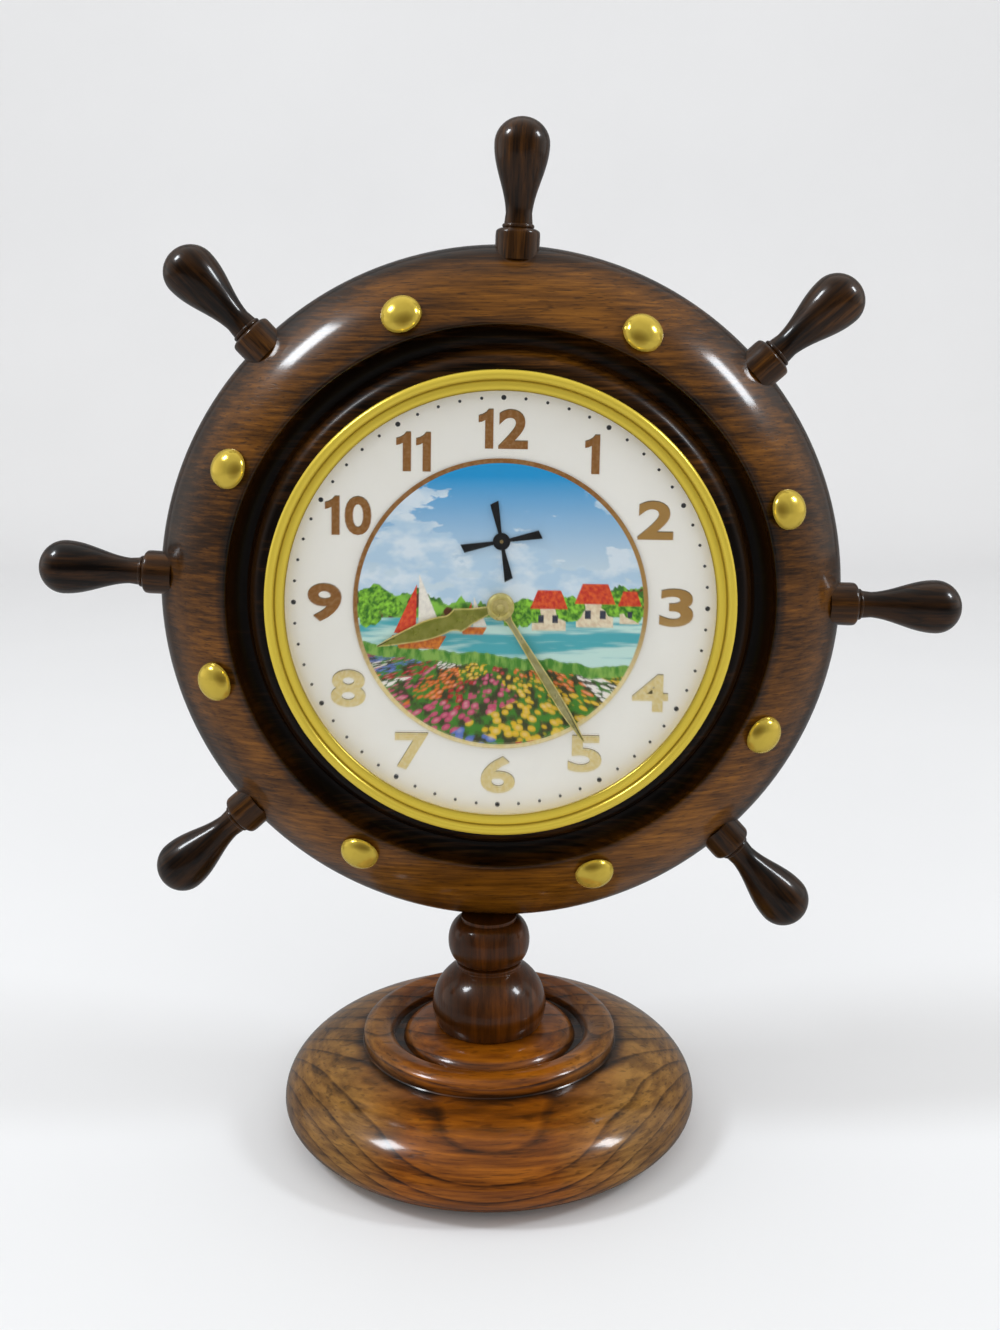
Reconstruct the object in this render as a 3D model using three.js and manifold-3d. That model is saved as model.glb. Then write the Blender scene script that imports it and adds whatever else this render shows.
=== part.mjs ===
// Ship wheel table clock: a turned wooden wheel stands on a pedestal and holds a wind-up
// clock, whose dial has a small four-vane rotor driven by the escape wheel.
// Millimetres, +Z up, the dial looks towards -Y, and the origin is under the middle of the base.
import * as THREE from 'three';
import { mergeVertices } from 'three/addons/utils/BufferGeometryUtils.js';
import Module from 'manifold-3d';

const wasm = await Module();
wasm.setup();

const degree = Math.PI / 180;

// Fits
const seatGap = 0.3; // between two pieces that rest on each other
const tenonGap = 0.3; // round a glued tenon, and at its blind end
const runningGap = 0.2; // round an arbor that turns in a hole
const wallGap = 0.35; // between sleeves that slide into each other

// Facets
const wheelFacets = 30;
const postFacets = 16;
const lidFacets = 24;
const handleFacets = 8;
const studFacets = 8;
const arborFacets = 6;
const curveSteps = 3;
const faceTolerance = 0.002;

// Base
const footRadius = 52.5;
const baseRadius = 57.2;
const baseWidestHeight = 8;
const domeTopRadius = 33;
const domeTopHeight = 23;
const collarRadius = 34.8;
const collarEdgeHeight = 25.6;
const collarCrestRadius = 31.2;
const collarCrestHeight = 27.3;
const dishRadius = 26.2;
const dishFloorHeight = 22.8;
const cushionRadius = 23.6;
const seatHeight = 26.7;
const seatRadius = 16.5;

// Pedestal
const ballRadius = 15.7;
const ballHalfHeight = 13.4;
const ballCutBelow = 5.2; // from the ball's widest place down to its seat
const neckRadius = 8;
const neckHeight = 1;
const beadRadius = 11.2;
const beadHeight = 11.9;
const beadEndRadius = 7.6;
const topCollarHeight = 1;
const lowerTenonRadius = 6;
const lowerTenonLength = 16;
const upperTenonRadius = 5;
const upperTenonLength = 12;

// Wheel ring
const wheelRadius = 90.8;
const wheelOffset = 3.4; // the ring's centre lies this far right of the pedestal
const wheelTurn = 2.8; // degrees clockwise, seen from the front
const ringBackDepth = 11;
const ringEdgeRound = 5.2;
const ridgeDepth = 15.4;
const shoulderDepth = 4.4;
const faceBulge = 0.5;
const bossDepth = 17.8;
const bossRound = 6.4; // height of the boss's rounded edge
const rimSeatDepth = 0.9; // flat seats are cut this deep into the rim
// Where each part of the ring's face lies, as shares of its width from the bore to the rim
const bossTopShare = 0.1;
const bossFootShare = 0.222;
const coveShare = 0.13;
const ridgeShare = 0.411;
const studShare = 0.561;
const shoulderShare = 0.893;

// Handles
const handleCount = 8; // the pedestal takes the lowest place
const handleTenonRadius = 3.2;
const handleTenonLength = 10;
const handleCollarRadius = 5.7;
const handleCollarLength = 4.4;
const handleBeadRadius = 4.1;
const handleBeadLength = 1.2;
const handleNeckRadius = 3.35;
const handleNeckPlace = 7;
const knobRadius = 7.1;
const knobPlace = 25.4;
const handleLength = 32.2;
const handleNudges = [0, 0.9, -0.8, 0.2, 0, 1.2, 0.7, -1.3]; // degrees that each was fitted off its place

// Brass studs
const studCount = 8;
const studTurn = 4.8;
const studNudges = [0.3, -0.3, 0, -1, 1.7, 1.9, -0.8, -1]; // degrees
const studHeadRadius = 5.2;
const studHeadHeight = 2.5;
const studShankRadius = 0.9;
const studShankLength = 9;

// Movement case, bezel, crystal, dial
const dialTurn = 1; // degrees clockwise, seen from the front
const caseRadius = 55.6;
const caseWall = 0.8;
const caseBack = 14.3;
const caseOpeningRadius = 38;
const skirtWall = 0.8;
const skirtLength = 8;
const bezelLipReach = 1.3; // the lip covers this much of the case's radius
const bezelBandWidth = 2.7;
const bezelBeadWidth = 2.5;
const bezelBeadDepth = 22.7;
const bezelGrooveDepth = 21.5;
const bezelLipDepth = 21.1;
const crystalWall = 1.1;
const crystalRise = 3;
const dialDepth = 18.1;
const dialThickness = 0.8;
const dialBorder = 18.4; // from the picture out to the case's edge
const pictureThickness = 0.3;

// Back cover, knobs and key
const coverRadius = 41.5;
const coverWall = 0.8;
const coverRimLength = 2.6;
const setKnobRadius = 7;
const setKnobLength = 7;
const setKnobFlutes = 10;
const keyHubRadius = 3.2;
const keyHubLength = 9;
const keyWingSpan = 15;
const keyWingHeight = 11;
const keyWingThickness = 1.4;

// Plates and posts
const plateHalfWidth = 31;
const plateHalfHeight = 40;
const plateCorner = 10;
const plateThickness = 1.2;
const frontPlateDepth = 11.3; // its front face
const plateSpace = 17;
const pillarX = 26.5;
const pillarZ = 35;
const pillarRadius = 2.2;
const pillarShankRadius = 1;
const pillarShankEnd = 2.4;
const spacerRadius = 2.5;
const screwHeadRadius = 1.9;
const screwHeadHeight = 1.2;
const screwShankLength = 3.2;

// Wheel work: tooth counts, and modules in millimetres
const addendum = 0.8;
const dedendum = 1.3;
const leafRootShare = 0.23;
const leafTipShare = 0.09;
const wheelSpokes = 3;
const greatTeeth = 40;
const centrePinionTeeth = 8;
const greatModule = 0.9;
const centreTeeth = 48;
const thirdTeeth = 45;
const trainPinionTeeth = 6;
const trainModule = 0.55;
const fourthTeeth = 40;
const fourthModule = 0.6;
const cannonTeeth = 10;
const minuteWheelTeeth = 30;
const minutePinionTeeth = 8;
const hourWheelTeeth = 32;
const motionModule = 0.6;
const greatAngle = -62; // where each arbor lies, in degrees from +X
const thirdAngle = 165;
const minuteWheelAngle = -45;
const palletAngle = -25;
const rotorHeight = 16.5;

// Depths of the wheels, from the front plate's back face
const wheelThickness = 1;
const pinionOverlap = 0.5;
const centreLayer = 1.5;
const thirdLayer = 4.5;
const fourthLayer = 7.5;
const greatLayer = 8.5;
const escapeLayer = 10.7;
const leverLayer = 12.1;
const balanceLayer = 13.5;
const hairspringLayer = 15.3;
const mainspringLayer = 11.2;
const cannonLayer = 2; // in front of the front plate
const hourLayer = 4.7;

// Arbors
const arborRadius = 0.8;
const pivotRadius = 0.5;
const cannonRadius = 1.5;
const hourPipeRadius = 2.4;
const wheelHubRadius = 1.9;

// Escapement
const escapeTeeth = 15;
const escapeRadius = 7;
const escapeRootRadius = 5.2;
const escapeThickness = 0.8;
const escapeFootHalf = 4.2; // degrees from a tooth's middle to each side of its foot
const escapeTurn = 3; // degrees that the wheel stands past its drop
const palletDistance = 9.2;
const palletSpan = 84; // degrees between the two pins, seen from the escape wheel
const palletPinRadius = 0.18;
const palletPinGap = 0.2; // between a pin and the teeth, with the lever in the middle
const leverThickness = 0.8;
const leverWidth = 1.5;
const forkReach = 8;
const balanceDistance = 9.5;
const balanceRadius = 8.2;
const balanceRimWidth = 1.2;
const balanceThickness = 1.2;
const hairspringTurns = 3;
const hairspringInner = 1.2;
const hairspringOuter = 4.4;
const hairspringStrip = 0.25;
const hairspringHeight = 0.8;

// Mainspring, ratchet and regulator
const springArborRadius = 2;
const mainspringTurns = 4;
const mainspringOuter = 15;
const mainspringStrip = 0.5;
const mainspringHeight = 5;
const ratchetTeeth = 12;
const ratchetRadius = 5.2;
const ratchetRootRadius = 4.2;
const clickPostDistance = 8.1;
const clickWidth = 2;
const clickLift = 0.2;
const clickPostRadius = 0.8;
const regulatorLength = 11;
const regulatorWidth = 2.4;
const regulatorThickness = 0.6;
const regulatorSwing = 20;

// Hands and rotor
const handThickness = 0.3;
const rotorLayer = 0.8; // in front of the dial's face
const hourHandLayer = 1.4;
const minuteHandLayer = 2;
const hourHandEnd = 22.6; // from the hand's tip out to the case's edge
const hourHandWidth = 6.2;
const minuteHandEnd = 14.6;
const minuteHandWidth = 2.4;
const hourHandAngle = 251;
const minuteHandAngle = 147.8;
const handNutRadius = 3.4;
const handNutHeight = 0.9;
const rotorRadius = 10.3;
const rotorTipWidth = 2.2;
const rotorHubRadius = 2.2;
const rotorAngle = -11.3;
const rotorThickness = 0.3;
const rotorPinProud = 0.1;
const handFit = 0.05; // round an arbor that carries a hand

// Places worked out from the sizes above
const ballCentre = seatHeight + seatGap + ballCutBelow;
const neckBottom = ballCentre + ballHalfHeight * Math.sqrt(1 - (neckRadius / ballRadius) ** 2);
const beadBottom = neckBottom + neckHeight;
const pedestalTop = beadBottom + beadHeight + topCollarHeight;
const wheelHeight = pedestalTop + wheelRadius - rimSeatDepth + seatGap;
const handleSeat = wheelRadius - rimSeatDepth + seatGap;
const skirtInner = caseRadius + wallGap;
const boreRadius = skirtInner + skirtWall + wallGap;
const bezelInnerRadius = caseRadius - bezelLipReach;
const bezelGrooveRadius = bezelInnerRadius + bezelBandWidth;
const bezelRadius = bezelGrooveRadius + bezelBeadWidth;
const ringPlace = (share) => boreRadius + share * (wheelRadius - boreRadius);
const ridgeRadius = ringPlace(ridgeShare);
const shoulderRadius = ringPlace(shoulderShare);
const studCircleRadius = ringPlace(studShare);
const bezelBack = bossDepth + seatGap;
const dialRadius = caseRadius - wallGap;
const pictureRadius = caseRadius - dialBorder;
const hourHandLength = caseRadius - hourHandEnd;
const minuteHandLength = caseRadius - minuteHandEnd;
const dialBack = dialDepth - dialThickness;
const pictureFront = dialDepth + seatGap + pictureThickness;
const frontPlateBack = plateThickness - frontPlateDepth;
const backPlateFront = frontPlateBack + plateSpace;
const backPlateBack = backPlateFront + plateThickness;
const flangeFront = caseBack - caseWall;
const coverFront = caseBack + seatGap;
const coverBack = coverFront + coverWall;
const meshDistance = (teethA, teethB, size) => (teethA + teethB) * size / 2;
const polar = (distance, angle) => new THREE.Vector2(
  distance * Math.cos(angle * degree), distance * Math.sin(angle * degree));
const centrePlace = new THREE.Vector2(0, 0);
const escapePlace = new THREE.Vector2(0, rotorHeight);
const greatPlace = polar(meshDistance(greatTeeth, centrePinionTeeth, greatModule), greatAngle);
const thirdPlace = polar(meshDistance(centreTeeth, trainPinionTeeth, trainModule), thirdAngle);
const fourthPlace = meetingPoint(
  thirdPlace, meshDistance(thirdTeeth, trainPinionTeeth, trainModule),
  escapePlace, meshDistance(fourthTeeth, trainPinionTeeth, fourthModule));
const minutePlace = polar(
  meshDistance(cannonTeeth, minuteWheelTeeth, motionModule), minuteWheelAngle);
const palletPlace = escapePlace.clone().add(polar(palletDistance, palletAngle));
const balancePlace = palletPlace.clone().add(polar(balanceDistance, palletAngle));

// Where two circles meet, on the side away from the centre arbor.
function meetingPoint(first, firstRadius, second, secondRadius) {
  const across = second.clone().sub(first);
  const span = across.length();
  const along = (span ** 2 + firstRadius ** 2 - secondRadius ** 2) / (2 * span);
  const aside = Math.sqrt(firstRadius ** 2 - along ** 2);
  across.normalize();
  const sideways = new THREE.Vector2(-across.y, across.x);
  return first.clone().addScaledVector(across, along).addScaledVector(sideways, aside);
}

// Solids: joining, cutting and simple shapes

function toSolid(geometry) {
  const bare = new THREE.BufferGeometry();
  bare.setAttribute('position', geometry.getAttribute('position').clone());
  if (geometry.index) bare.setIndex(geometry.index.clone());
  const merged = mergeVertices(bare, 1e-4);
  const corners = merged.index.array;
  const kept = [];
  for (let i = 0; i < corners.length; i += 3) {
    const [a, b, c] = [corners[i], corners[i + 1], corners[i + 2]];
    if (a !== b && b !== c && c !== a) kept.push(a, b, c);
  }
  return new wasm.Manifold(new wasm.Mesh({
    numProp: 3,
    vertProperties: new Float32Array(merged.getAttribute('position').array),
    triVerts: new Uint32Array(kept),
  }));
}

// Flat faces that meet in one plane are joined, so a cut or a join leaves no needless triangles.
function toGeometry(solid) {
  const mesh = solid.asOriginal().simplify(faceTolerance).getMesh();
  const geometry = new THREE.BufferGeometry();
  geometry.setAttribute('position', new THREE.BufferAttribute(mesh.vertProperties, 3));
  geometry.setIndex(new THREE.BufferAttribute(mesh.triVerts, 1));
  return geometry;
}

const join = (...parts) => toGeometry(
  parts.map(toSolid).reduce((whole, part) => whole.add(part)));

const cut = (body, ...tools) => toGeometry(
  tools.map(toSolid).reduce((whole, tool) => whole.subtract(tool), toSolid(body)));

// Turns a closed outline of [radius, place] points about the Y axis, with its faces outwards.
function turned(outline, facets) {
  const points = outline.map(([radius, place]) => new THREE.Vector2(radius, place));
  const first = points[0];
  const last = points[points.length - 1];
  if (first.x > 0 || last.x > 0) points.push(first.clone());
  const area = points.reduce((sum, point, i) => {
    const next = points[(i + 1) % points.length];
    return sum + point.x * next.y - next.x * point.y;
  }, 0);
  if (area < 0) points.reverse();
  return new THREE.LatheGeometry(points, facets);
}

const upright = (geometry) => geometry.rotateX(Math.PI / 2);

const rod = (radius, front, back, facets = arborFacets) => turned(
  [[0, front], [radius, front], [radius, back], [0, back]], facets);

const sleeve = (inner, outer, front, back, facets = arborFacets) => turned(
  [[inner, front], [outer, front], [outer, back], [inner, back]], facets);

// Points of an ellipse's arc from one angle to another, as [x, y] pairs.
function arc(centreX, centreY, radiusX, radiusY, from, to, steps = curveSteps) {
  const points = [];
  for (let i = 0; i <= steps; i++) {
    const angle = (from + (to - from) * i / steps) * degree;
    points.push([centreX + radiusX * Math.cos(angle), centreY + radiusY * Math.sin(angle)]);
  }
  return points;
}

function shapeOf(points) {
  return new THREE.Shape(points.map(([x, y]) => new THREE.Vector2(x, y)));
}

function circle(x, y, radius, steps = arborFacets) {
  return arc(x, y, radius, radius, 0, 360 * (1 - 1 / steps), steps - 1);
}

// A bore whose flats, and not only its corners, clear what turns or sits in it.
const boreAround = (radius, gap, steps = arborFacets) => (radius + gap) / Math.cos(Math.PI / steps);

function addHole(shape, points) {
  shape.holes.push(new THREE.Path(points.map(([x, y]) => new THREE.Vector2(x, y))));
  return shape;
}

// A flat piece in the dial's plane, from its front place to front plus thickness.
function flat(shape, front, thickness) {
  const geometry = new THREE.ExtrudeGeometry(shape, { depth: thickness, bevelEnabled: false });
  return geometry.rotateX(Math.PI / 2).translate(0, front + thickness, 0);
}

function turnedPoints(points, angle) {
  const middle = new THREE.Vector2(0, 0);
  return points.map(([x, y]) => new THREE.Vector2(x, y).rotateAround(middle, angle * degree).toArray());
}

// Wheels with teeth. Tooth 0 points along the given angle.

// Clock wheels have deep, pointed teeth.
function toothPoints(teeth, size, angle) {
  const pitchRadius = teeth * size / 2;
  const points = [];
  for (let i = 0; i < teeth; i++) {
    const middle = angle + i * 360 / teeth;
    points.push(polar(pitchRadius + addendum * size, middle).toArray());
    points.push(polar(pitchRadius - dedendum * size, middle + 180 / teeth).toArray());
  }
  return points;
}

function leafPoints(teeth, size, angle) {
  const pitchRadius = teeth * size / 2;
  const outer = pitchRadius + addendum * size;
  const root = pitchRadius - dedendum * size;
  const step = 360 / teeth;
  const points = [];
  for (let i = 0; i < teeth; i++) {
    const middle = angle + i * step;
    points.push(polar(root, middle - step * leafRootShare).toArray());
    points.push(polar(outer, middle - step * leafTipShare).toArray());
    points.push(polar(outer, middle + step * leafTipShare).toArray());
    points.push(polar(root, middle + step * leafRootShare).toArray());
  }
  return points;
}

// A ring's sector, to cut between two spokes.
function crossing(inner, outer, from, to) {
  const outside = arc(0, 0, outer, outer, from, to, 2);
  const inside = arc(0, 0, inner, inner, to - 8, from + 8, 2);
  return [...outside, ...inside];
}

function crossedWheel(points, rimInner, hubOuter, spokes, bore) {
  const shape = shapeOf(points);
  if (bore > 0) addHole(shape, circle(0, 0, bore));
  const step = 360 / spokes;
  const spokeHalf = 0.9 / rimInner / degree + 4;
  for (let i = 0; i < spokes; i++) {
    const middle = i * step;
    const from = middle - step / 2 + spokeHalf;
    addHole(shape, crossing(hubOuter, rimInner, from, from + step - 2 * spokeHalf));
  }
  return shape;
}

function toothedWheel(teeth, size, angle, front, bore = 0) {
  const rimInner = teeth * size / 2 - dedendum * size - 1.4;
  const hubOuter = Math.max(wheelHubRadius, bore) + 1;
  const shape = crossedWheel(toothPoints(teeth, size, angle), rimInner, hubOuter, wheelSpokes, bore);
  return flat(shape, front, wheelThickness);
}

function pinion(teeth, size, angle, front, length, bore = 0) {
  const shape = shapeOf(leafPoints(teeth, size, angle));
  if (bore > 0) addHole(shape, circle(0, 0, bore));
  return flat(shape, front, length);
}

// A driving wheel has a tooth on the line of centres, and the pinion it drives has a gap there.
const towards = (from, to) => Math.atan2(to.y - from.y, to.x - from.x) / degree;
const gapTowards = (from, to, teeth) => towards(from, to) + 180 / teeth;

const layerFront = (layer) => frontPlateBack + layer;

// Materials

function material(color, roughness, metalness) {
  return new THREE.MeshStandardMaterial({ color, roughness, metalness });
}

const stainedWood = () => material(0x4a2a16, 0.25, 0);
const polishedBrass = () => material(0xd6ac3c, 0.22, 1);
const plainBrass = () => material(0xc4a052, 0.4, 1);
const plainSteel = () => material(0x9a9a98, 0.35, 1);
const blackPaint = () => material(0x0c0c0e, 0.5, 0);

function piece(name, geometry, look) {
  const mesh = new THREE.Mesh(geometry, look);
  mesh.name = name;
  return mesh;
}

// Base and pedestal

function baseOutline() {
  return [
    [0, 0],
    [footRadius, 0],
    ...arc(footRadius, baseWidestHeight, baseRadius - footRadius, baseWidestHeight, -50, 0, 2),
    ...arc(domeTopRadius, baseWidestHeight, baseRadius - domeTopRadius,
      domeTopHeight - baseWidestHeight, 14, 84, 5),
    [collarRadius, collarEdgeHeight],
    [collarCrestRadius, collarCrestHeight],
    [dishRadius, dishFloorHeight + 1],
    [cushionRadius, dishFloorHeight],
    ...arc(seatRadius, dishFloorHeight, cushionRadius - seatRadius,
      seatHeight - dishFloorHeight, 40, 90, 2),
    [0, seatHeight],
  ];
}

function base() {
  const body = upright(turned(baseOutline(), wheelFacets));
  const socketDepth = lowerTenonLength + tenonGap;
  const socket = upright(rod(lowerTenonRadius + tenonGap, seatHeight - socketDepth,
    seatHeight + 1, postFacets));
  return piece('base', cut(body, socket), stainedWood());
}

function pedestal() {
  const bottom = seatHeight + seatGap;
  const cutAngle = -Math.asin(ballCutBelow / ballHalfHeight) / degree;
  const neckAngle = Math.acos(neckRadius / ballRadius) / degree;
  const beadCentre = beadBottom + beadHeight / 2;
  const outline = [
    [0, bottom - lowerTenonLength],
    [lowerTenonRadius, bottom - lowerTenonLength],
    [lowerTenonRadius, bottom],
    ...arc(0, ballCentre, ballRadius, ballHalfHeight, cutAngle, neckAngle, 6),
    [neckRadius, beadBottom],
    ...arc(beadEndRadius, beadCentre, beadRadius - beadEndRadius, beadHeight / 2, -75, 75, 4),
    [beadEndRadius, pedestalTop - topCollarHeight],
    [beadEndRadius, pedestalTop],
    [upperTenonRadius, pedestalTop],
    [upperTenonRadius, pedestalTop + upperTenonLength],
    [0, pedestalTop + upperTenonLength],
  ];
  return piece('pedestal', upright(turned(outline, postFacets)), stainedWood());
}

// Wheel ring. Its outline is [radius, place], and the front faces -Y.

function ringOutline() {
  const backCorner = ringBackDepth - ringEdgeRound;
  const bossTop = ringPlace(bossTopShare);
  const coveRadius = ringPlace(coveShare) - boreRadius;
  return [
    [boreRadius, ringBackDepth],
    [boreRadius, -bossDepth],
    ...arc(bossTop, -bossDepth + bossRound, ringPlace(bossFootShare) - bossTop, bossRound, -90, -8, 2),
    ...arc(ridgeRadius - 0.7 - coveRadius, -ridgeDepth, coveRadius, coveRadius, 85, 10, 2),
    [ridgeRadius, -ridgeDepth - 0.2],
    [(ridgeRadius + shoulderRadius) / 2 + faceBulge, -(ridgeDepth + shoulderDepth) / 2 - faceBulge],
    [shoulderRadius, -shoulderDepth],
    [shoulderRadius + 2.3, -shoulderDepth + 2.2],
    [wheelRadius, 0.8],
    [wheelRadius, backCorner - 2],
    ...arc(wheelRadius - ringEdgeRound, backCorner, ringEdgeRound, ringEdgeRound, 25, 90, 2),
  ];
}

// A cutter for a tenon's hole and the flat seat round it, pointing along +Y from the wheel's centre.
function rimCutter(tenonRadius, tenonLength, shoulder) {
  const seat = wheelRadius - rimSeatDepth;
  const hole = boreAround(tenonRadius, tenonGap, handleFacets);
  const recess = boreAround(shoulder, seatGap, handleFacets);
  return turned([
    [0, seat + seatGap - tenonLength - tenonGap],
    [hole, seat + seatGap - tenonLength - tenonGap],
    [hole, seat],
    [recess, seat],
    [recess, wheelRadius + 5],
    [0, wheelRadius + 5],
  ], handleFacets);
}

// Turns something that points along +Y so that it points outwards in the wheel's plane.
function outwards(geometry, clockwise) {
  return geometry.rotateX(Math.PI / 2).rotateY(clockwise * degree);
}

const handleAngle = (index) => wheelTurn + handleNudges[index] + index * 360 / handleCount;
const handleIndexes = Array.from({ length: handleCount }, (_, i) => i).filter((i) => i !== handleCount / 2);
const studAngle = (index) => studTurn + studNudges[index] + (index + 0.5) * 360 / studCount;

// The stud's seat on the sloping face: its place there and the slope's angle.
const faceSlope = Math.atan2(ridgeDepth - shoulderDepth, shoulderRadius - ridgeRadius) / degree;

function studSeat() {
  const share = (studCircleRadius - ridgeRadius) / (shoulderRadius - ridgeRadius);
  const place = -(ridgeDepth + (shoulderDepth - ridgeDepth) * share);
  const normal = polar(1, faceSlope - 90);
  return new THREE.Vector2(studCircleRadius, place).addScaledVector(normal, faceBulge * 1.42);
}

// Moves a stud, made along Y with its head's underside at zero, onto the face at an angle.
function ontoFace(geometry, clockwise) {
  const seat = studSeat();
  return geometry.rotateX(-faceSlope * degree).translate(0, seat.y, seat.x)
    .rotateY(clockwise * degree);
}

function wheelRing() {
  const ring = turned(ringOutline(), wheelFacets);
  const cutters = handleIndexes.map((index) => outwards(
    rimCutter(handleTenonRadius, handleTenonLength, handleCollarRadius), handleAngle(index)));
  const pedestalCutter = outwards(
    rimCutter(upperTenonRadius, upperTenonLength, beadEndRadius), 180);
  pedestalCutter.translate(-wheelOffset, 0, 0);
  for (let i = 0; i < studCount; i++) {
    const hole = rod(studShankRadius + tenonGap, -4, studShankLength + tenonGap, 6);
    cutters.push(ontoFace(hole, studAngle(i)));
  }
  return piece('wheel_ring', cut(ring, pedestalCutter, ...cutters), stainedWood());
}

// A turned handle along +Y: tenon, collar, small bead, and a neck that swells into a round knob.
function handleOutline() {
  const neckToKnob = [];
  const steps = 4;
  for (let i = 1; i < steps; i++) {
    const t = i / steps;
    const swell = (1 - Math.cos(Math.PI * t)) / 2;
    neckToKnob.push([
      handleNeckRadius + (knobRadius - handleNeckRadius) * swell,
      handleNeckPlace + (knobPlace - handleNeckPlace) * t,
    ]);
  }
  const beadPlace = handleCollarLength + handleBeadLength / 2;
  return [
    [0, -handleTenonLength],
    [handleTenonRadius, -handleTenonLength],
    [handleTenonRadius, 0],
    [handleCollarRadius, 0],
    [handleCollarRadius, handleCollarLength - 0.8],
    [handleCollarRadius - 1.2, handleCollarLength],
    [handleBeadRadius, beadPlace],
    [handleNeckRadius, handleCollarLength + handleBeadLength],
    [handleNeckRadius, handleNeckPlace],
    ...neckToKnob,
    ...arc(0, knobPlace, knobRadius, handleLength - knobPlace, 0, 90, 3),
  ].map(([radius, place]) => [radius < 1e-6 ? 0 : radius, place + handleSeat]);
}

function handle(index, number) {
  const geometry = outwards(turned(handleOutline(), handleFacets), handleAngle(index));
  return piece(`handle_${number}`, geometry, stainedWood());
}

function brassStud(index) {
  const outline = [
    [0, studShankLength],
    [studShankRadius, studShankLength],
    [studShankRadius, -seatGap],
    ...arc(0, -seatGap, studHeadRadius, studHeadHeight, 0, -90, 2),
  ].map(([radius, place]) => [radius < 1e-6 ? 0 : radius, place]);
  const geometry = ontoFace(turned(outline, studFacets), studAngle(index));
  return piece(`brass_stud_${index + 1}`, geometry, polishedBrass());
}

// Bezel, crystal and dial

function bezel() {
  const beadRadiusX = (bezelRadius - bezelGrooveRadius) / 2;
  const bandRadiusX = (bezelGrooveRadius - bezelInnerRadius) / 2;
  const outline = [
    [skirtInner, skirtLength - bezelBack],
    [skirtInner, seatGap - bezelLipDepth],
    [bezelInnerRadius, seatGap - bezelLipDepth],
    [bezelInnerRadius, -bezelLipDepth - 0.6],
    ...arc(bezelInnerRadius + bandRadiusX, -bezelGrooveDepth + 0.2, bandRadiusX, 0.8, -150, -20, 2),
    ...arc(bezelRadius - beadRadiusX, -bezelGrooveDepth, beadRadiusX,
      bezelBeadDepth - bezelGrooveDepth, -160, 0, 2),
    [bezelRadius - 0.4, -bezelBack],
    [skirtInner + skirtWall, -bezelBack],
    [skirtInner + skirtWall, skirtLength - bezelBack],
  ];
  return piece('bezel', turned(outline, wheelFacets), polishedBrass());
}

function crystal() {
  const edge = dialRadius;
  const flatPart = bezelInnerRadius - 1;
  const back = 2 * seatGap + crystalWall - bezelLipDepth;
  const rise = (inner) => {
    const points = [];
    for (let i = 0; i <= 2; i++) {
      const t = 1 - i / 2;
      points.push([flatPart * t, back - (inner ? 0 : crystalWall) - crystalRise * (1 - t * t)]);
    }
    return points;
  };
  const outline = [
    ...rise(true).reverse(),
    [edge, back],
    [edge, back - crystalWall],
    ...rise(false),
  ];
  const glass = new THREE.MeshStandardMaterial({
    color: 0xe8f0f0, roughness: 0.05, metalness: 0, transparent: true, opacity: 0.25,
  });
  return piece('crystal', turned(outline, lidFacets), glass);
}

function dialPlate() {
  const shape = shapeOf(circle(0, 0, dialRadius, lidFacets));
  addHole(shape, circle(0, 0, boreAround(hourPipeRadius, runningGap)));
  addHole(shape, circle(escapePlace.x, escapePlace.y, boreAround(arborRadius, runningGap)));
  return piece('dial_plate', flat(shape, -dialDepth, dialThickness), material(0xe9e7dc, 0.45, 0));
}

function pictureDisc() {
  const shape = shapeOf(circle(0, 0, pictureRadius, lidFacets));
  addHole(shape, circle(0, 0, boreAround(hourPipeRadius, runningGap)));
  addHole(shape, circle(escapePlace.x, escapePlace.y, boreAround(arborRadius, runningGap)));
  return piece('picture_disc', flat(shape, -pictureFront, pictureThickness), material(0x6fa6c9, 0.5, 0));
}

// Movement case and back cover

function movementCase() {
  const outline = [
    [caseRadius, -dialBack + seatGap],
    [caseRadius, caseBack],
    [caseOpeningRadius, caseBack],
    [caseOpeningRadius, flangeFront],
    [caseRadius - caseWall, flangeFront],
    [caseRadius - caseWall, -dialBack + seatGap],
  ];
  const holes = pillarPlaces().map(([x, z]) => rod(pillarShankRadius + tenonGap,
    flangeFront - 1, caseBack + 1).translate(x, 0, z));
  return piece('movement_case', cut(turned(outline, lidFacets), ...holes), plainSteel());
}

function backCover() {
  const rimOuter = caseOpeningRadius - wallGap;
  const lid = turned([
    [0, coverBack],
    [coverRadius, coverBack],
    [coverRadius, coverFront],
    [rimOuter, coverFront],
    [rimOuter, coverFront - coverRimLength],
    [rimOuter - coverWall, coverFront - coverRimLength],
    [rimOuter - coverWall, coverFront],
    [0, coverFront],
  ], lidFacets);
  const knobHole = rod(boreAround(cannonRadius, runningGap), coverFront - 1, coverBack + 1);
  const keyHole = rod(boreAround(springArborRadius, runningGap), coverFront - 1, coverBack + 1)
    .translate(greatPlace.x, 0, greatPlace.y);
  const reach = regulatorLength - regulatorWidth / 2;
  const slotHalf = regulatorWidth / 2 + wallGap;
  const slotPoints = [
    ...arc(0, 0, reach + slotHalf, reach + slotHalf, -regulatorSwing - 8, regulatorSwing + 8, 4),
    ...arc(0, 0, reach - slotHalf, reach - slotHalf, regulatorSwing + 8, -regulatorSwing - 8, 4),
  ];
  const slot = flat(shapeOf(slotPoints), coverFront - 1, coverWall + 2)
    .translate(balancePlace.x, 0, balancePlace.y);
  return piece('back_cover', cut(lid, knobHole, keyHole, slot), plainSteel());
}

// Plates, pillars, spacers and screws

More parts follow.
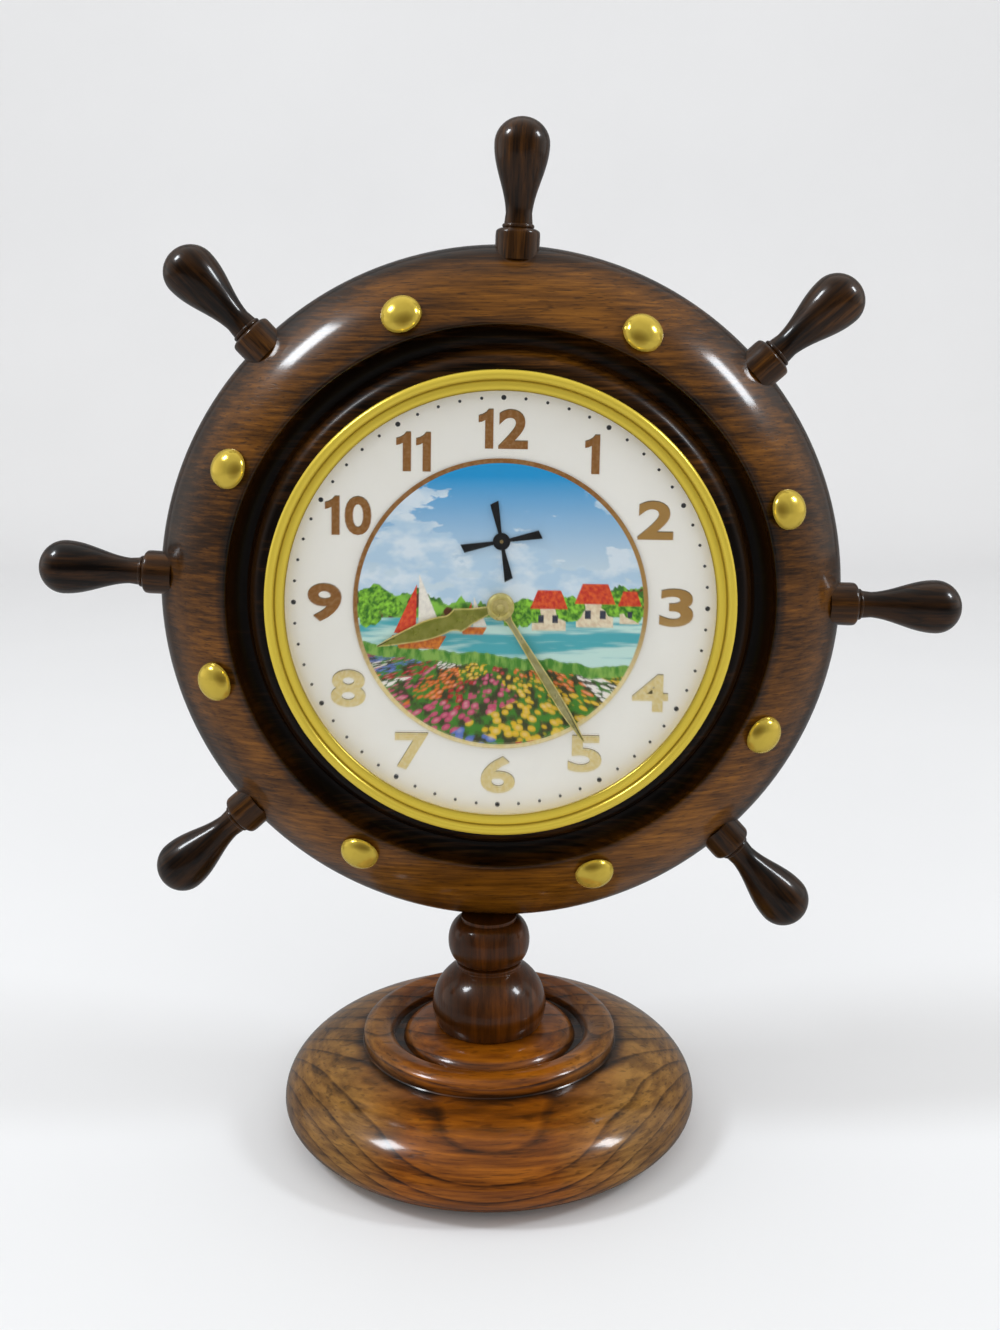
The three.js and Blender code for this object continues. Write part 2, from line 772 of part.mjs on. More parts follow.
function pillarPlaces() {
  return [[-pillarX, -pillarZ], [pillarX, -pillarZ], [pillarX, pillarZ], [-pillarX, pillarZ]];
}

function plateShape() {
  const cornerX = plateHalfWidth - plateCorner;
  const cornerZ = plateHalfHeight - plateCorner;
  const shape = shapeOf([
    ...arc(cornerX, cornerZ, plateCorner, plateCorner, 0, 90, 2),
    ...arc(-cornerX, cornerZ, plateCorner, plateCorner, 90, 180, 2),
    ...arc(-cornerX, -cornerZ, plateCorner, plateCorner, 180, 270, 2),
    ...arc(cornerX, -cornerZ, plateCorner, plateCorner, 270, 360, 2),
  ]);
  pillarPlaces().forEach(([x, z]) => addHole(shape, circle(x, z, pillarShankRadius + tenonGap)));
  [thirdPlace, fourthPlace, palletPlace, balancePlace].forEach(
    (place) => addHole(shape, circle(place.x, place.y, boreAround(pivotRadius, runningGap))));
  addHole(shape, circle(0, 0, boreAround(cannonRadius, runningGap)));
  addHole(shape, circle(escapePlace.x, escapePlace.y, boreAround(arborRadius, runningGap)));
  addHole(shape, circle(greatPlace.x, greatPlace.y, boreAround(springArborRadius, runningGap)));
  return shape;
}

function frontPlate() {
  const plate = flat(plateShape(), -frontPlateDepth, plateThickness);
  const stud = rod(arborRadius, -frontPlateDepth - hourLayer - 0.5,
    -frontPlateDepth + plateThickness / 2).translate(minutePlace.x, 0, minutePlace.y);
  return piece('front_plate', join(plate, stud), plainBrass());
}

function backPlate() {
  return piece('back_plate', flat(plateShape(), backPlateFront, plateThickness), plainBrass());
}

function platePillar([x, z], index) {
  const outline = [
    [0, -frontPlateDepth],
    [pillarShankRadius, -frontPlateDepth],
    [pillarShankRadius, frontPlateBack + seatGap],
    [pillarRadius, frontPlateBack + seatGap],
    [pillarRadius, backPlateFront - seatGap],
    [pillarShankRadius, backPlateFront - seatGap],
    [pillarShankRadius, backPlateBack + pillarShankEnd],
    [0, backPlateBack + pillarShankEnd],
  ];
  const geometry = turned(outline, arborFacets).translate(x, 0, z);
  return piece(`plate_pillar_${index + 1}`, geometry, plainBrass());
}

// A long nut on the pillar's end takes the case screw in its other end.
function pillarNut([x, z], index) {
  const hexagon = shapeOf(circle(0, 0, spacerRadius, 6));
  addHole(hexagon, circle(0, 0, pillarShankRadius + tenonGap, 8));
  const front = backPlateBack + seatGap;
  const geometry = flat(hexagon, front, flangeFront - seatGap - front).translate(x, 0, z);
  return piece(`pillar_nut_${index + 1}`, geometry, plainBrass());
}

function caseScrew([x, z], index) {
  const outline = [
    [0, caseBack - screwShankLength],
    [pillarShankRadius, caseBack - screwShankLength],
    [pillarShankRadius, caseBack + seatGap],
    [screwHeadRadius, caseBack + seatGap],
    [screwHeadRadius, caseBack + seatGap + screwHeadHeight * 0.6],
    [screwHeadRadius * 0.6, caseBack + seatGap + screwHeadHeight],
    [0, caseBack + seatGap + screwHeadHeight],
  ];
  const geometry = turned(outline, arborFacets).translate(x, 0, z);
  return piece(`case_screw_${index + 1}`, geometry, plainSteel());
}

// Going train. Each moving piece is made about its own axis and placed there.

function placed(mesh, place) {
  mesh.position.set(place.x, 0, place.y);
  return mesh;
}

// An arbor that runs from plate to plate, with thinner pivots in the plates.
function pivotedArbor() {
  const shoulder = runningGap;
  return turned([
    [0, -frontPlateDepth],
    [pivotRadius, -frontPlateDepth],
    [pivotRadius, frontPlateBack + shoulder],
    [arborRadius, frontPlateBack + shoulder],
    [arborRadius, backPlateFront - shoulder],
    [pivotRadius, backPlateFront - shoulder],
    [pivotRadius, backPlateBack],
    [0, backPlateBack],
  ], arborFacets);
}

const pinionLength = wheelThickness + 2 * pinionOverlap;

function greatWheel() {
  const wheel = toothedWheel(greatTeeth, greatModule, towards(greatPlace, centrePlace),
    layerFront(greatLayer), boreAround(springArborRadius, runningGap));
  const clickPost = rod(clickPostRadius, layerFront(greatLayer - 1.5),
    layerFront(greatLayer) + wheelThickness / 2).translate(clickPlace.x, 0, clickPlace.y);
  return placed(piece('great_wheel', join(wheel, clickPost), plainBrass()), greatPlace);
}

function centreWheel() {
  const bore = boreAround(arborRadius, runningGap);
  const pinionFront = layerFront(greatLayer) - pinionOverlap;
  const hub = sleeve(bore, wheelHubRadius, frontPlateBack + runningGap, pinionFront + pinionLength);
  const wheel = toothedWheel(centreTeeth, trainModule, towards(centrePlace, thirdPlace),
    layerFront(centreLayer), bore);
  const leaves = pinion(centrePinionTeeth, greatModule,
    gapTowards(centrePlace, greatPlace, centrePinionTeeth), pinionFront, pinionLength, bore);
  return placed(piece('centre_wheel', join(wheel, hub, leaves), plainBrass()), centrePlace);
}

function thirdWheel() {
  const wheel = toothedWheel(thirdTeeth, trainModule, towards(thirdPlace, fourthPlace),
    layerFront(thirdLayer));
  const leaves = pinion(trainPinionTeeth, trainModule,
    gapTowards(thirdPlace, centrePlace, trainPinionTeeth),
    layerFront(centreLayer) - pinionOverlap, pinionLength);
  return placed(piece('third_wheel', join(pivotedArbor(), wheel, leaves), plainBrass()), thirdPlace);
}

function fourthWheel() {
  const wheel = toothedWheel(fourthTeeth, fourthModule, towards(fourthPlace, escapePlace),
    layerFront(fourthLayer));
  const leaves = pinion(trainPinionTeeth, trainModule,
    gapTowards(fourthPlace, thirdPlace, trainPinionTeeth),
    layerFront(thirdLayer) - pinionOverlap, pinionLength);
  return placed(piece('fourth_wheel', join(pivotedArbor(), wheel, leaves), plainBrass()), fourthPlace);
}

// The escape wheel's long front arbor goes through the dial and carries the rotor.
function escapeWheel() {
  const step = 360 / escapeTeeth;
  const first = palletAngle + palletSpan / 2 - step / 4 + escapeTurn;
  const points = [];
  for (let i = 0; i < escapeTeeth; i++) {
    const middle = first + i * step;
    points.push(polar(escapeRootRadius, middle - escapeFootHalf).toArray());
    points.push(polar(escapeRadius, middle).toArray());
    points.push(polar(escapeRootRadius, middle + escapeFootHalf).toArray());
  }
  const shape = crossedWheel(points, escapeRootRadius - 0.9, arborRadius + 0.9, 3, 0);
  const wheel = flat(shape, layerFront(escapeLayer), escapeThickness);
  const leaves = pinion(trainPinionTeeth, fourthModule,
    gapTowards(escapePlace, fourthPlace, trainPinionTeeth),
    layerFront(fourthLayer) - pinionOverlap, pinionLength);
  const rotorBack = -dialDepth - rotorLayer;
  const arbor = turned([
    [0, rotorBack - rotorThickness - rotorPinProud],
    [pivotRadius, rotorBack - rotorThickness - rotorPinProud],
    [pivotRadius, rotorBack + seatGap],
    [arborRadius, rotorBack + seatGap],
    [arborRadius, backPlateFront - runningGap],
    [pivotRadius, backPlateFront - runningGap],
    [pivotRadius, backPlateBack],
    [0, backPlateBack],
  ], arborFacets);
  return placed(piece('escape_wheel', join(arbor, wheel, leaves), plainBrass()), escapePlace);
}

// Two steel pins stand on the lever's arms and let the escape wheel's teeth go by one at a time.
function palletLever() {
  const pinDistance = escapeRadius + palletPinRadius + palletPinGap;
  const pinPlaces = [-1, 1].map((side) => [
    pinDistance * Math.cos(palletSpan / 2 * degree) - palletDistance,
    side * pinDistance * Math.sin(palletSpan / 2 * degree),
  ]);
  const half = leverWidth / 2;
  const [lower, upper] = pinPlaces;
  const body = shapeOf(turnedPoints([
    [half, -half],
    [forkReach, -half * 0.8],
    [forkReach, -half * 0.35],
    [forkReach - 1.6, -half * 0.35],
    [forkReach - 1.6, half * 0.35],
    [forkReach, half * 0.35],
    [forkReach, half * 0.8],
    [half, half],
    [upper[0] + half, upper[1] + half],
    [upper[0] - half * 0.6, upper[1] + half * 0.6],
    [upper[0] - half * 0.2, upper[1] - half],
    [-half, 0],
    [lower[0] - half * 0.2, lower[1] + half],
    [lower[0] - half * 0.6, lower[1] - half * 0.6],
    [lower[0] + half, lower[1] - half],
  ], palletAngle));
  const plate = flat(body, layerFront(leverLayer), leverThickness);
  const pins = turnedPoints(pinPlaces, palletAngle).map(([x, z]) => rod(palletPinRadius,
    layerFront(escapeLayer) - 0.2, layerFront(leverLayer) + leverThickness / 2, 8).translate(x, 0, z));
  const arbor = pivotedArbor();
  return placed(piece('pallet_lever', join(plate, arbor, ...pins), plainSteel()), palletPlace);
}

function balanceWheel() {
  const rim = crossedWheel(circle(0, 0, balanceRadius, 20), balanceRadius - balanceRimWidth,
    arborRadius + 1, 3, 0);
  const wheel = flat(rim, layerFront(balanceLayer), balanceThickness);
  return placed(piece('balance_wheel', join(wheel, pivotedArbor()), plainBrass()), balancePlace);
}

// A flat spiral strip about the Y axis.
function spiral(inner, outer, turns, strip, stepsPerTurn) {
  const steps = Math.round(turns * stepsPerTurn);
  const outside = [];
  const inside = [];
  for (let i = 0; i <= steps; i++) {
    const angle = 360 * turns * i / steps;
    const radius = inner + (outer - inner) * i / steps;
    outside.push(polar(radius + strip / 2, angle).toArray());
    inside.push(polar(radius - strip / 2, angle).toArray());
  }
  return [...outside, ...inside.reverse()];
}

function hairspring() {
  const points = spiral(hairspringInner + hairspringStrip, hairspringOuter, hairspringTurns,
    hairspringStrip, 8);
  return placed(piece('hairspring', flat(shapeOf(points), layerFront(hairspringLayer),
    hairspringHeight), plainSteel()), balancePlace);
}

// Its outer end reaches to the nearest pillar, where it is hooked.
function mainspring() {
  const pillar = new THREE.Vector2(pillarX, -pillarZ);
  const hookAngle = towards(greatPlace, pillar);
  const hookDistance = greatPlace.distanceTo(pillar) - pillarRadius - seatGap;
  const coil = turnedPoints(spiral(springArborRadius + seatGap + mainspringStrip / 2, mainspringOuter,
    mainspringTurns, mainspringStrip, 8), hookAngle);
  const arm = turnedPoints([
    [mainspringOuter - mainspringStrip / 2, -0.6],
    [hookDistance, -0.6],
    [hookDistance, 0.6],
    [mainspringOuter - mainspringStrip / 2, 0.6],
  ], hookAngle);
  const front = layerFront(mainspringLayer);
  return placed(piece('mainspring', join(flat(shapeOf(coil), front, mainspringHeight),
    flat(shapeOf(arm), front, mainspringHeight)), plainSteel()), greatPlace);
}

// The winding arbor with its ratchet wheel, in front of the great wheel.
const clickPlace = polar(clickPostDistance, 180);
const clickNose = polar(ratchetRadius + clickLift, 135);

function springArbor() {
  const step = 360 / ratchetTeeth;
  const points = [];
  for (let i = 0; i < ratchetTeeth; i++) {
    points.push(polar(ratchetRadius, i * step).toArray());
    points.push(polar(ratchetRootRadius, i * step + 2).toArray());
  }
  const ratchet = flat(shapeOf(points), layerFront(greatLayer - 1.4), wheelThickness);
  const keySeat = coverBack + 1;
  const arbor = turned([
    [0, -frontPlateDepth],
    [springArborRadius, -frontPlateDepth],
    [springArborRadius, keySeat],
    [springArborRadius * 0.7, keySeat],
    [springArborRadius * 0.7, keySeat + keyHubLength * 0.7],
    [0, keySeat + keyHubLength * 0.7],
  ], arborFacets);
  return placed(piece('spring_arbor', join(arbor, ratchet), plainSteel()), greatPlace);
}

// The click is shown lifted just clear of the ratchet's teeth.
function click() {
  const front = layerFront(greatLayer - 1.4);
  const length = clickPlace.distanceTo(clickNose);
  const body = shapeOf(turnedPoints([
    ...arc(0, 0, clickWidth / 2 + 0.4, clickWidth / 2 + 0.4, 70, 290, 4),
    [length * 0.7, -0.2],
    [length, 0.1],
    [length, 0.9],
    [length * 0.4, clickWidth * 0.6],
  ], towards(clickPlace, clickNose)));
  addHole(body, circle(0, 0, boreAround(clickPostRadius, runningGap)));
  const place = greatPlace.clone().add(clickPlace);
  return placed(piece('click', flat(body, front, wheelThickness), plainSteel()), place);
}

function windingKey() {
  const front = coverBack + 1 + seatGap;
  const hub = turned([
    [springArborRadius * 0.7 + tenonGap, front],
    [keyHubRadius, front],
    [keyHubRadius, front + keyHubLength],
    [0, front + keyHubLength],
    [0, front + keyHubLength * 0.7 + tenonGap],
    [springArborRadius * 0.7 + tenonGap, front + keyHubLength * 0.7 + tenonGap],
  ], 16);
  const wingFoot = keyHubLength - 2;
  const half = keyWingSpan / 2;
  const wing = shapeOf([
    [-keyHubRadius * 0.6, 0],
    [keyHubRadius * 0.6, 0],
    ...arc(half - 4, keyWingHeight / 2, 4, keyWingHeight / 2, -70, 90, 4),
    ...arc(-half + 4, keyWingHeight / 2, 4, keyWingHeight / 2, 90, 250, 4),
  ]);
  const wings = new THREE.ExtrudeGeometry(wing, { depth: keyWingThickness, bevelEnabled: false })
    .translate(0, front + wingFoot, -keyWingThickness / 2);
  return placed(piece('winding_key', join(hub, wings), polishedBrass()), greatPlace);
}

// The regulator lies on the back plate and its tip comes out through a slot in the cover.
function regulatorLever() {
  const front = backPlateBack + seatGap;
  const half = regulatorWidth / 2;
  const body = shapeOf([
    ...arc(0, 0, half + 0.6, half + 0.6, 35, 325, 6),
    ...arc(regulatorLength - half, 0, half, half, -90, 90, 4),
  ]);
  addHole(body, circle(0, 0, boreAround(pivotRadius, runningGap)));
  const strip = flat(body, front, regulatorThickness);
  const tip = rod(half * 0.7, front, coverBack + 2.5).translate(regulatorLength - half, 0, 0);
  return placed(piece('regulator_lever', join(strip, tip), plainSteel()), balancePlace);
}

// Motion work, hands and setting knob

function centreArbor() {
  const leavesFront = -frontPlateDepth - cannonLayer;
  const handEnd = -dialDepth - minuteHandLayer - handThickness - seatGap - handNutHeight * 0.6;
  const knobEnd = coverBack + 1 + setKnobLength * 0.7;
  const arbor = turned([
    [0, handEnd],
    [arborRadius, handEnd],
    [arborRadius, -dialDepth - minuteHandLayer + seatGap],
    [cannonRadius, -dialDepth - minuteHandLayer + seatGap],
    [cannonRadius, -frontPlateDepth + plateThickness / 2],
    [arborRadius, -frontPlateDepth + plateThickness / 2],
    [arborRadius, backPlateFront - 1],
    [cannonRadius, backPlateFront - 1],
    [cannonRadius, coverBack + 1 - seatGap],
    [arborRadius, coverBack + 1 - seatGap],
    [arborRadius, knobEnd],
    [0, knobEnd],
  ], arborFacets);
  const leaves = pinion(cannonTeeth, motionModule, towards(centrePlace, minutePlace),
    leavesFront - pinionOverlap, pinionLength);
  return placed(piece('centre_arbor', join(arbor, leaves), plainSteel()), centrePlace);
}

function minuteWheel() {
  const bore = boreAround(arborRadius, runningGap);
  const wheelFront = -frontPlateDepth - cannonLayer;
  const pinionFront = -frontPlateDepth - hourLayer - pinionOverlap / 2;
  const wheel = toothedWheel(minuteWheelTeeth, motionModule,
    gapTowards(minutePlace, centrePlace, minuteWheelTeeth), wheelFront, bore);
  const leaves = pinion(minutePinionTeeth, motionModule, towards(minutePlace, centrePlace),
    pinionFront, wheelFront + wheelThickness / 2 - pinionFront, bore);
  return placed(piece('minute_wheel', join(wheel, leaves), plainBrass()), minutePlace);
}

function hourWheel() {
  const bore = boreAround(cannonRadius, runningGap);
  const front = -frontPlateDepth - hourLayer;
  const wheel = toothedWheel(hourWheelTeeth, motionModule,
    gapTowards(centrePlace, minutePlace, hourWheelTeeth), front, bore);
  const pipe = sleeve(bore, hourPipeRadius, -dialDepth - hourHandLayer - handThickness,
    front + wheelThickness);
  return placed(piece('hour_wheel', join(wheel, pipe), plainBrass()), centrePlace);
}

// A hand points up until it is turned, clockwise seen from the front.
function handPiece(name, shape, layer, clockwise, look) {
  const geometry = flat(shape, -dialDepth - layer - handThickness, handThickness);
  return placed(piece(name, geometry.rotateY(clockwise * degree), look), centrePlace);
}

// The hour hand flares out to a shoulder, and a notch parts that from its leaf.
function hourHand() {
  const half = hourHandWidth / 2;
  const ring = hourPipeRadius + 1.1;
  const right = [
    ...arc(0, 0, ring, ring, -90, 72, 5),
    [half, hourHandLength * 0.345],
    [half * 0.68, hourHandLength * 0.415],
    [half * 0.81, hourHandLength * 0.56],
    [half * 0.56, hourHandLength * 0.76],
    [0.35, hourHandLength],
  ];
  const left = right.slice(1).reverse().map(([x, y]) => [-x, y]);
  const shape = addHole(shapeOf([...right, ...left]), circle(0, 0, boreAround(hourPipeRadius, handFit)));
  return handPiece('hour_hand', shape, hourHandLayer, hourHandAngle, material(0x9c8a45, 0.35, 1));
}

function minuteHand() {
  const half = minuteHandWidth / 2;
  const ring = hourPipeRadius + 0.8;
  const right = [
    ...arc(0, 0, ring, ring, -90, 70, 5),
    [half * 0.55, ring + 3],
    [half, minuteHandLength * 0.68],
    [0.3, minuteHandLength],
  ];
  const left = right.slice(1).reverse().map(([x, y]) => [-x, y]);
  const shape = addHole(shapeOf([...right, ...left]), circle(0, 0, boreAround(arborRadius, handFit)));
  return handPiece('minute_hand', shape, minuteHandLayer, minuteHandAngle, material(0x9c8a45, 0.35, 1));
}

function handNut() {
  const back = -dialDepth - minuteHandLayer - handThickness - seatGap;
  const nut = sleeve(boreAround(arborRadius, handFit, postFacets), handNutRadius,
    back - handNutHeight, back, postFacets);
  return placed(piece('hand_nut', nut, polishedBrass()), centrePlace);
}

function rotor() {
  const half = rotorTipWidth / 2;
  const front = -dialDepth - rotorLayer - rotorThickness;
  const vane = [
    [0.5, rotorHubRadius * 0.7],
    [half, rotorRadius],
    [-half, rotorRadius - 0.6],
    [-0.5, rotorHubRadius * 0.7],
  ];
  const parts = [flat(shapeOf(circle(0, 0, rotorHubRadius, 16)), front, rotorThickness)];
  for (let i = 0; i < 4; i++) {
    parts.push(flat(shapeOf(turnedPoints(vane, i * 90)), front, rotorThickness));
  }
  const bore = rod(boreAround(pivotRadius, handFit), front - 1, front + rotorThickness + 1);
  const geometry = cut(join(...parts), bore);
  return placed(piece('rotor', geometry.rotateY(rotorAngle * degree), blackPaint()), escapePlace);
}

function setKnob() {
  const front = coverBack + 1;
  const points = [];
  for (let i = 0; i < setKnobFlutes; i++) {
    const angle = i * 360 / setKnobFlutes;
    points.push(polar(setKnobRadius, angle - 11).toArray());
    points.push(polar(setKnobRadius, angle + 11).toArray());
    points.push(polar(setKnobRadius - 0.9, angle + 18).toArray());
  }
  const body = flat(shapeOf(points), front, setKnobLength);
  const bore = rod(arborRadius + tenonGap, front - 1, front + setKnobLength * 0.7 + tenonGap);
  return placed(piece('set_knob', cut(body, bore), polishedBrass()), centrePlace);
}

// Assembly

const clock = new THREE.Group();
clock.add(base(), pedestal());

const wheel = new THREE.Group();
wheel.position.set(wheelOffset, 0, wheelHeight);
clock.add(wheel);
wheel.add(wheelRing());
handleIndexes.forEach((index, i) => wheel.add(handle(index, i + 1)));
for (let i = 0; i < studCount; i++) wheel.add(brassStud(i));

const insert = new THREE.Group();
insert.rotation.y = dialTurn * degree;
wheel.add(insert);
insert.add(bezel(), crystal(), dialPlate(), pictureDisc(), movementCase(), backCover());
insert.add(frontPlate(), backPlate());
pillarPlaces().forEach((place, i) => {
  insert.add(platePillar(place, i), pillarNut(place, i), caseScrew(place, i));
});
insert.add(greatWheel(), centreWheel(), thirdWheel(), fourthWheel(), escapeWheel());
insert.add(palletLever(), balanceWheel(), hairspring(), mainspring(), springArbor(), click());
insert.add(windingKey(), regulatorLever(), centreArbor(), minuteWheel(), hourWheel());
insert.add(hourHand(), minuteHand(), handNut(), rotor(), setKnob());

export default clock;
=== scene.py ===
import random
from math import acos, atan2, cos, degrees, pi, radians, sin, sqrt
import bpy
import bmesh
from mathutils import Matrix, Vector


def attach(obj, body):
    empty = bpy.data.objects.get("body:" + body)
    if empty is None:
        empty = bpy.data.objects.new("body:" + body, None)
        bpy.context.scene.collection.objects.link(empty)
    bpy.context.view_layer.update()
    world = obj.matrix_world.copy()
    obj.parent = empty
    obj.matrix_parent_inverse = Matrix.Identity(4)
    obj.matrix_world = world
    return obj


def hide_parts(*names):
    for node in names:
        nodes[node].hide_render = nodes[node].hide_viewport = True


# A ship wheel table clock: turned wood, brass, a white dial with a round printed picture.
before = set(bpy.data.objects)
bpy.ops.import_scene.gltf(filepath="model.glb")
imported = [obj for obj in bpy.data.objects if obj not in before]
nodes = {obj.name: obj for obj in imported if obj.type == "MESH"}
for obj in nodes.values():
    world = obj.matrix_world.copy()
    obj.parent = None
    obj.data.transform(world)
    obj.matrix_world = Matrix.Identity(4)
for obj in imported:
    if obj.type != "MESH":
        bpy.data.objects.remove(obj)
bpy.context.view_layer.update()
mm = 0.001
still = "stand_and_case"
print("frame loaded:", len(nodes), "pieces")

# Where things stand (mm, and degrees clockwise as seen from the front)
places = {
    "wheelOffset": 3.4,
    "wheelHeight": 147.83,
    "wheelTurn": 2.8,
    "studTurn": 4.8,
    "dialTurn": 1.0,
    "rotorHeight": 16.5,
}


def clockwise(angle):
    return Matrix.Rotation(radians(angle), 4, "Y")


def shifted(x, y, z):
    return Matrix.Translation((x * mm, y * mm, z * mm))


wheelPlace = shifted(places["wheelOffset"], 0, places["wheelHeight"])
dialPlace = wheelPlace @ clockwise(places["dialTurn"])
upright = Matrix.Rotation(pi / 2, 4, "X")


def newObject(name, data):
    made = bpy.data.objects.new(name, data)
    bpy.context.scene.collection.objects.link(made)
    return made


# Camera

view = {
    "place": (4.56, -382.46, 219.17),
    "turn": -0.2,      # degrees to the right
    "dip": 9.1,        # degrees below the horizon
    "roll": -0.1,
    "lens": 39.62,
    "sensor": 36,      # mm, along the tall side
    "shiftUp": -0.0828,
    "clip": (0.01, 20),    # metres
}


def addCamera():
    data = bpy.data.cameras.new("camera")
    data.sensor_fit = "VERTICAL"
    data.sensor_height = view["sensor"]
    data.sensor_width = view["sensor"]
    data.lens = view["lens"]
    data.shift_y = view["shiftUp"]
    data.clip_start, data.clip_end = view["clip"]
    camera = newObject("camera", data)
    turn = Matrix.Rotation(radians(-view["turn"]), 4, "Z")
    dip = Matrix.Rotation(radians(90 - view["dip"]), 4, "X")
    roll = Matrix.Rotation(radians(view["roll"]), 4, "Z")
    camera.matrix_world = shifted(*view["place"]) @ turn @ dip @ roll
    bpy.context.scene.camera = camera


addCamera()
print("camera ready")


# Node helpers

def newMaterial(name):
    material = bpy.data.materials.new(name)
    material.use_nodes = True
    tree = material.node_tree
    return material, tree, tree.nodes["Principled BSDF"]


def node(tree, kind, **settings):
    made = tree.nodes.new("ShaderNode" + kind)
    for key, value in settings.items():
        setattr(made, key, value)
    return made


# A socket takes a number, a vector, a colour or another node's output.
def feed(socket, value):
    if isinstance(value, bpy.types.NodeSocket):
        socket.id_data.links.new(value, socket)
    elif socket.type == "RGBA":
        socket.default_value = (*value, 1)
    else:
        socket.default_value = value


def put(made, **values):
    for key, value in values.items():
        feed(made.inputs[key.replace("_", " ")], value)
    return made


def maths(tree, operation, *values, clamp=False):
    made = node(tree, "Math", operation=operation, use_clamp=clamp)
    for socket, value in zip(made.inputs, values):
        feed(socket, value)
    return made.outputs[0]


def times(tree, first, second):
    return maths(tree, "MULTIPLY", first, second)


def plus(tree, first, second):
    return maths(tree, "ADD", first, second)


def minus(tree, first, second):
    return maths(tree, "SUBTRACT", first, second)


def vectors(tree, operation, first, second):
    made = node(tree, "VectorMath", operation=operation)
    feed(made.inputs[0], first)
    feed(made.inputs[1], second)
    return made.outputs["Value" if operation == "DOT_PRODUCT" else "Vector"]


def ramp(tree, factor, stops, colours):
    made = put(node(tree, "ValToRGB"), Fac=factor)
    steps = made.color_ramp.elements
    while len(steps) < len(colours):
        steps.new(0.5)
    for step, stop, colour in zip(steps, stops, colours):
        step.position = stop
        step.color = (*colour, 1)
    return made.outputs["Color"]


def mixed(tree, factor, first, second):
    made = node(tree, "Mix", data_type="RGBA")
    for i, value in ((0, factor), (6, first), (7, second)):
        feed(made.inputs[i], value)
    return made.outputs[2]


def ranged(tree, value, low, high, toLow=0.0, toHigh=1.0):
    made = node(tree, "MapRange")
    put(made, Value=value, From_Min=low, From_Max=high, To_Min=toLow, To_Max=toHigh)
    return made.outputs["Result"]


# The same for a place in the object, with its limits in mm.
def between(tree, value, low, high, toLow=0.0, toHigh=1.0):
    return ranged(tree, value, low * mm, high * mm, toLow, toHigh)


def noise(tree, point, scale, detail, **rest):
    made = put(node(tree, "TexNoise"), Vector=point, Scale=scale, Detail=detail, **rest)
    return made.outputs["Fac"]


def relief(tree, height, strength, depth):
    made = put(node(tree, "Bump"), Height=height, Strength=strength, Distance=depth)
    return made.outputs["Normal"]


def split(tree, point):
    return put(node(tree, "SeparateXYZ"), Vector=point).outputs


def distance(tree, first, second):
    squares = [times(tree, side, side) for side in (first, second)]
    return maths(tree, "SQRT", plus(tree, *squares))


def objectPoint(tree, offset=(0, 0, 0), turn=(0, 0, 0)):
    where = node(tree, "TexCoord").outputs["Object"]
    return put(node(tree, "Mapping"), Vector=where, Location=offset, Rotation=turn).outputs["Vector"]


# Object coordinates from the wheel's middle
def wheelPoint(tree):
    return objectPoint(tree, (-places["wheelOffset"] * mm, 0, -places["wheelHeight"] * mm))


# Distance from the wheel's axle, depth and height, all in metres from the wheel's middle
def fromAxle(tree):
    x, y, z = split(tree, wheelPoint(tree))
    return distance(tree, x, z), y, z


def newGroup(name, numbers, results):
    group = bpy.data.node_groups.new(name, "ShaderNodeTree")
    newSocket = group.interface.new_socket
    newSocket("Point", in_out="INPUT", socket_type="NodeSocketVector")
    for label in numbers:
        newSocket(label, in_out="INPUT", socket_type="NodeSocketFloat")
    for label in results:
        newSocket(label, in_out="OUTPUT", socket_type="NodeSocketFloat")
    return group, group.nodes.new("NodeGroupInput").outputs, group.nodes.new("NodeGroupOutput")


def useGroup(tree, group, point, **values):
    return put(node(tree, "Group", node_tree=group), Point=point, **values).outputs


# Wood figure. Fibres run along X of the given point, round a pith line through its origin.
woodGrain = {
    "wanderScale": 22.0,
    "wanderReach": 0.012,
    "wanderStretch": (0.35, 1, 1),
    "rings": 210.0,          # to the metre
    "lateWood": 6.0,         # late wood darkens slowly, then stops sharply
    "cloudScale": 45.0,
    "fibres": 900.0,
    "fibreStretch": (0.045, 0.18, 1),
    "pores": 2100.0,         # open pores: short dark dashes
    "poreStretch": (0.09, 0.3, 1),
}


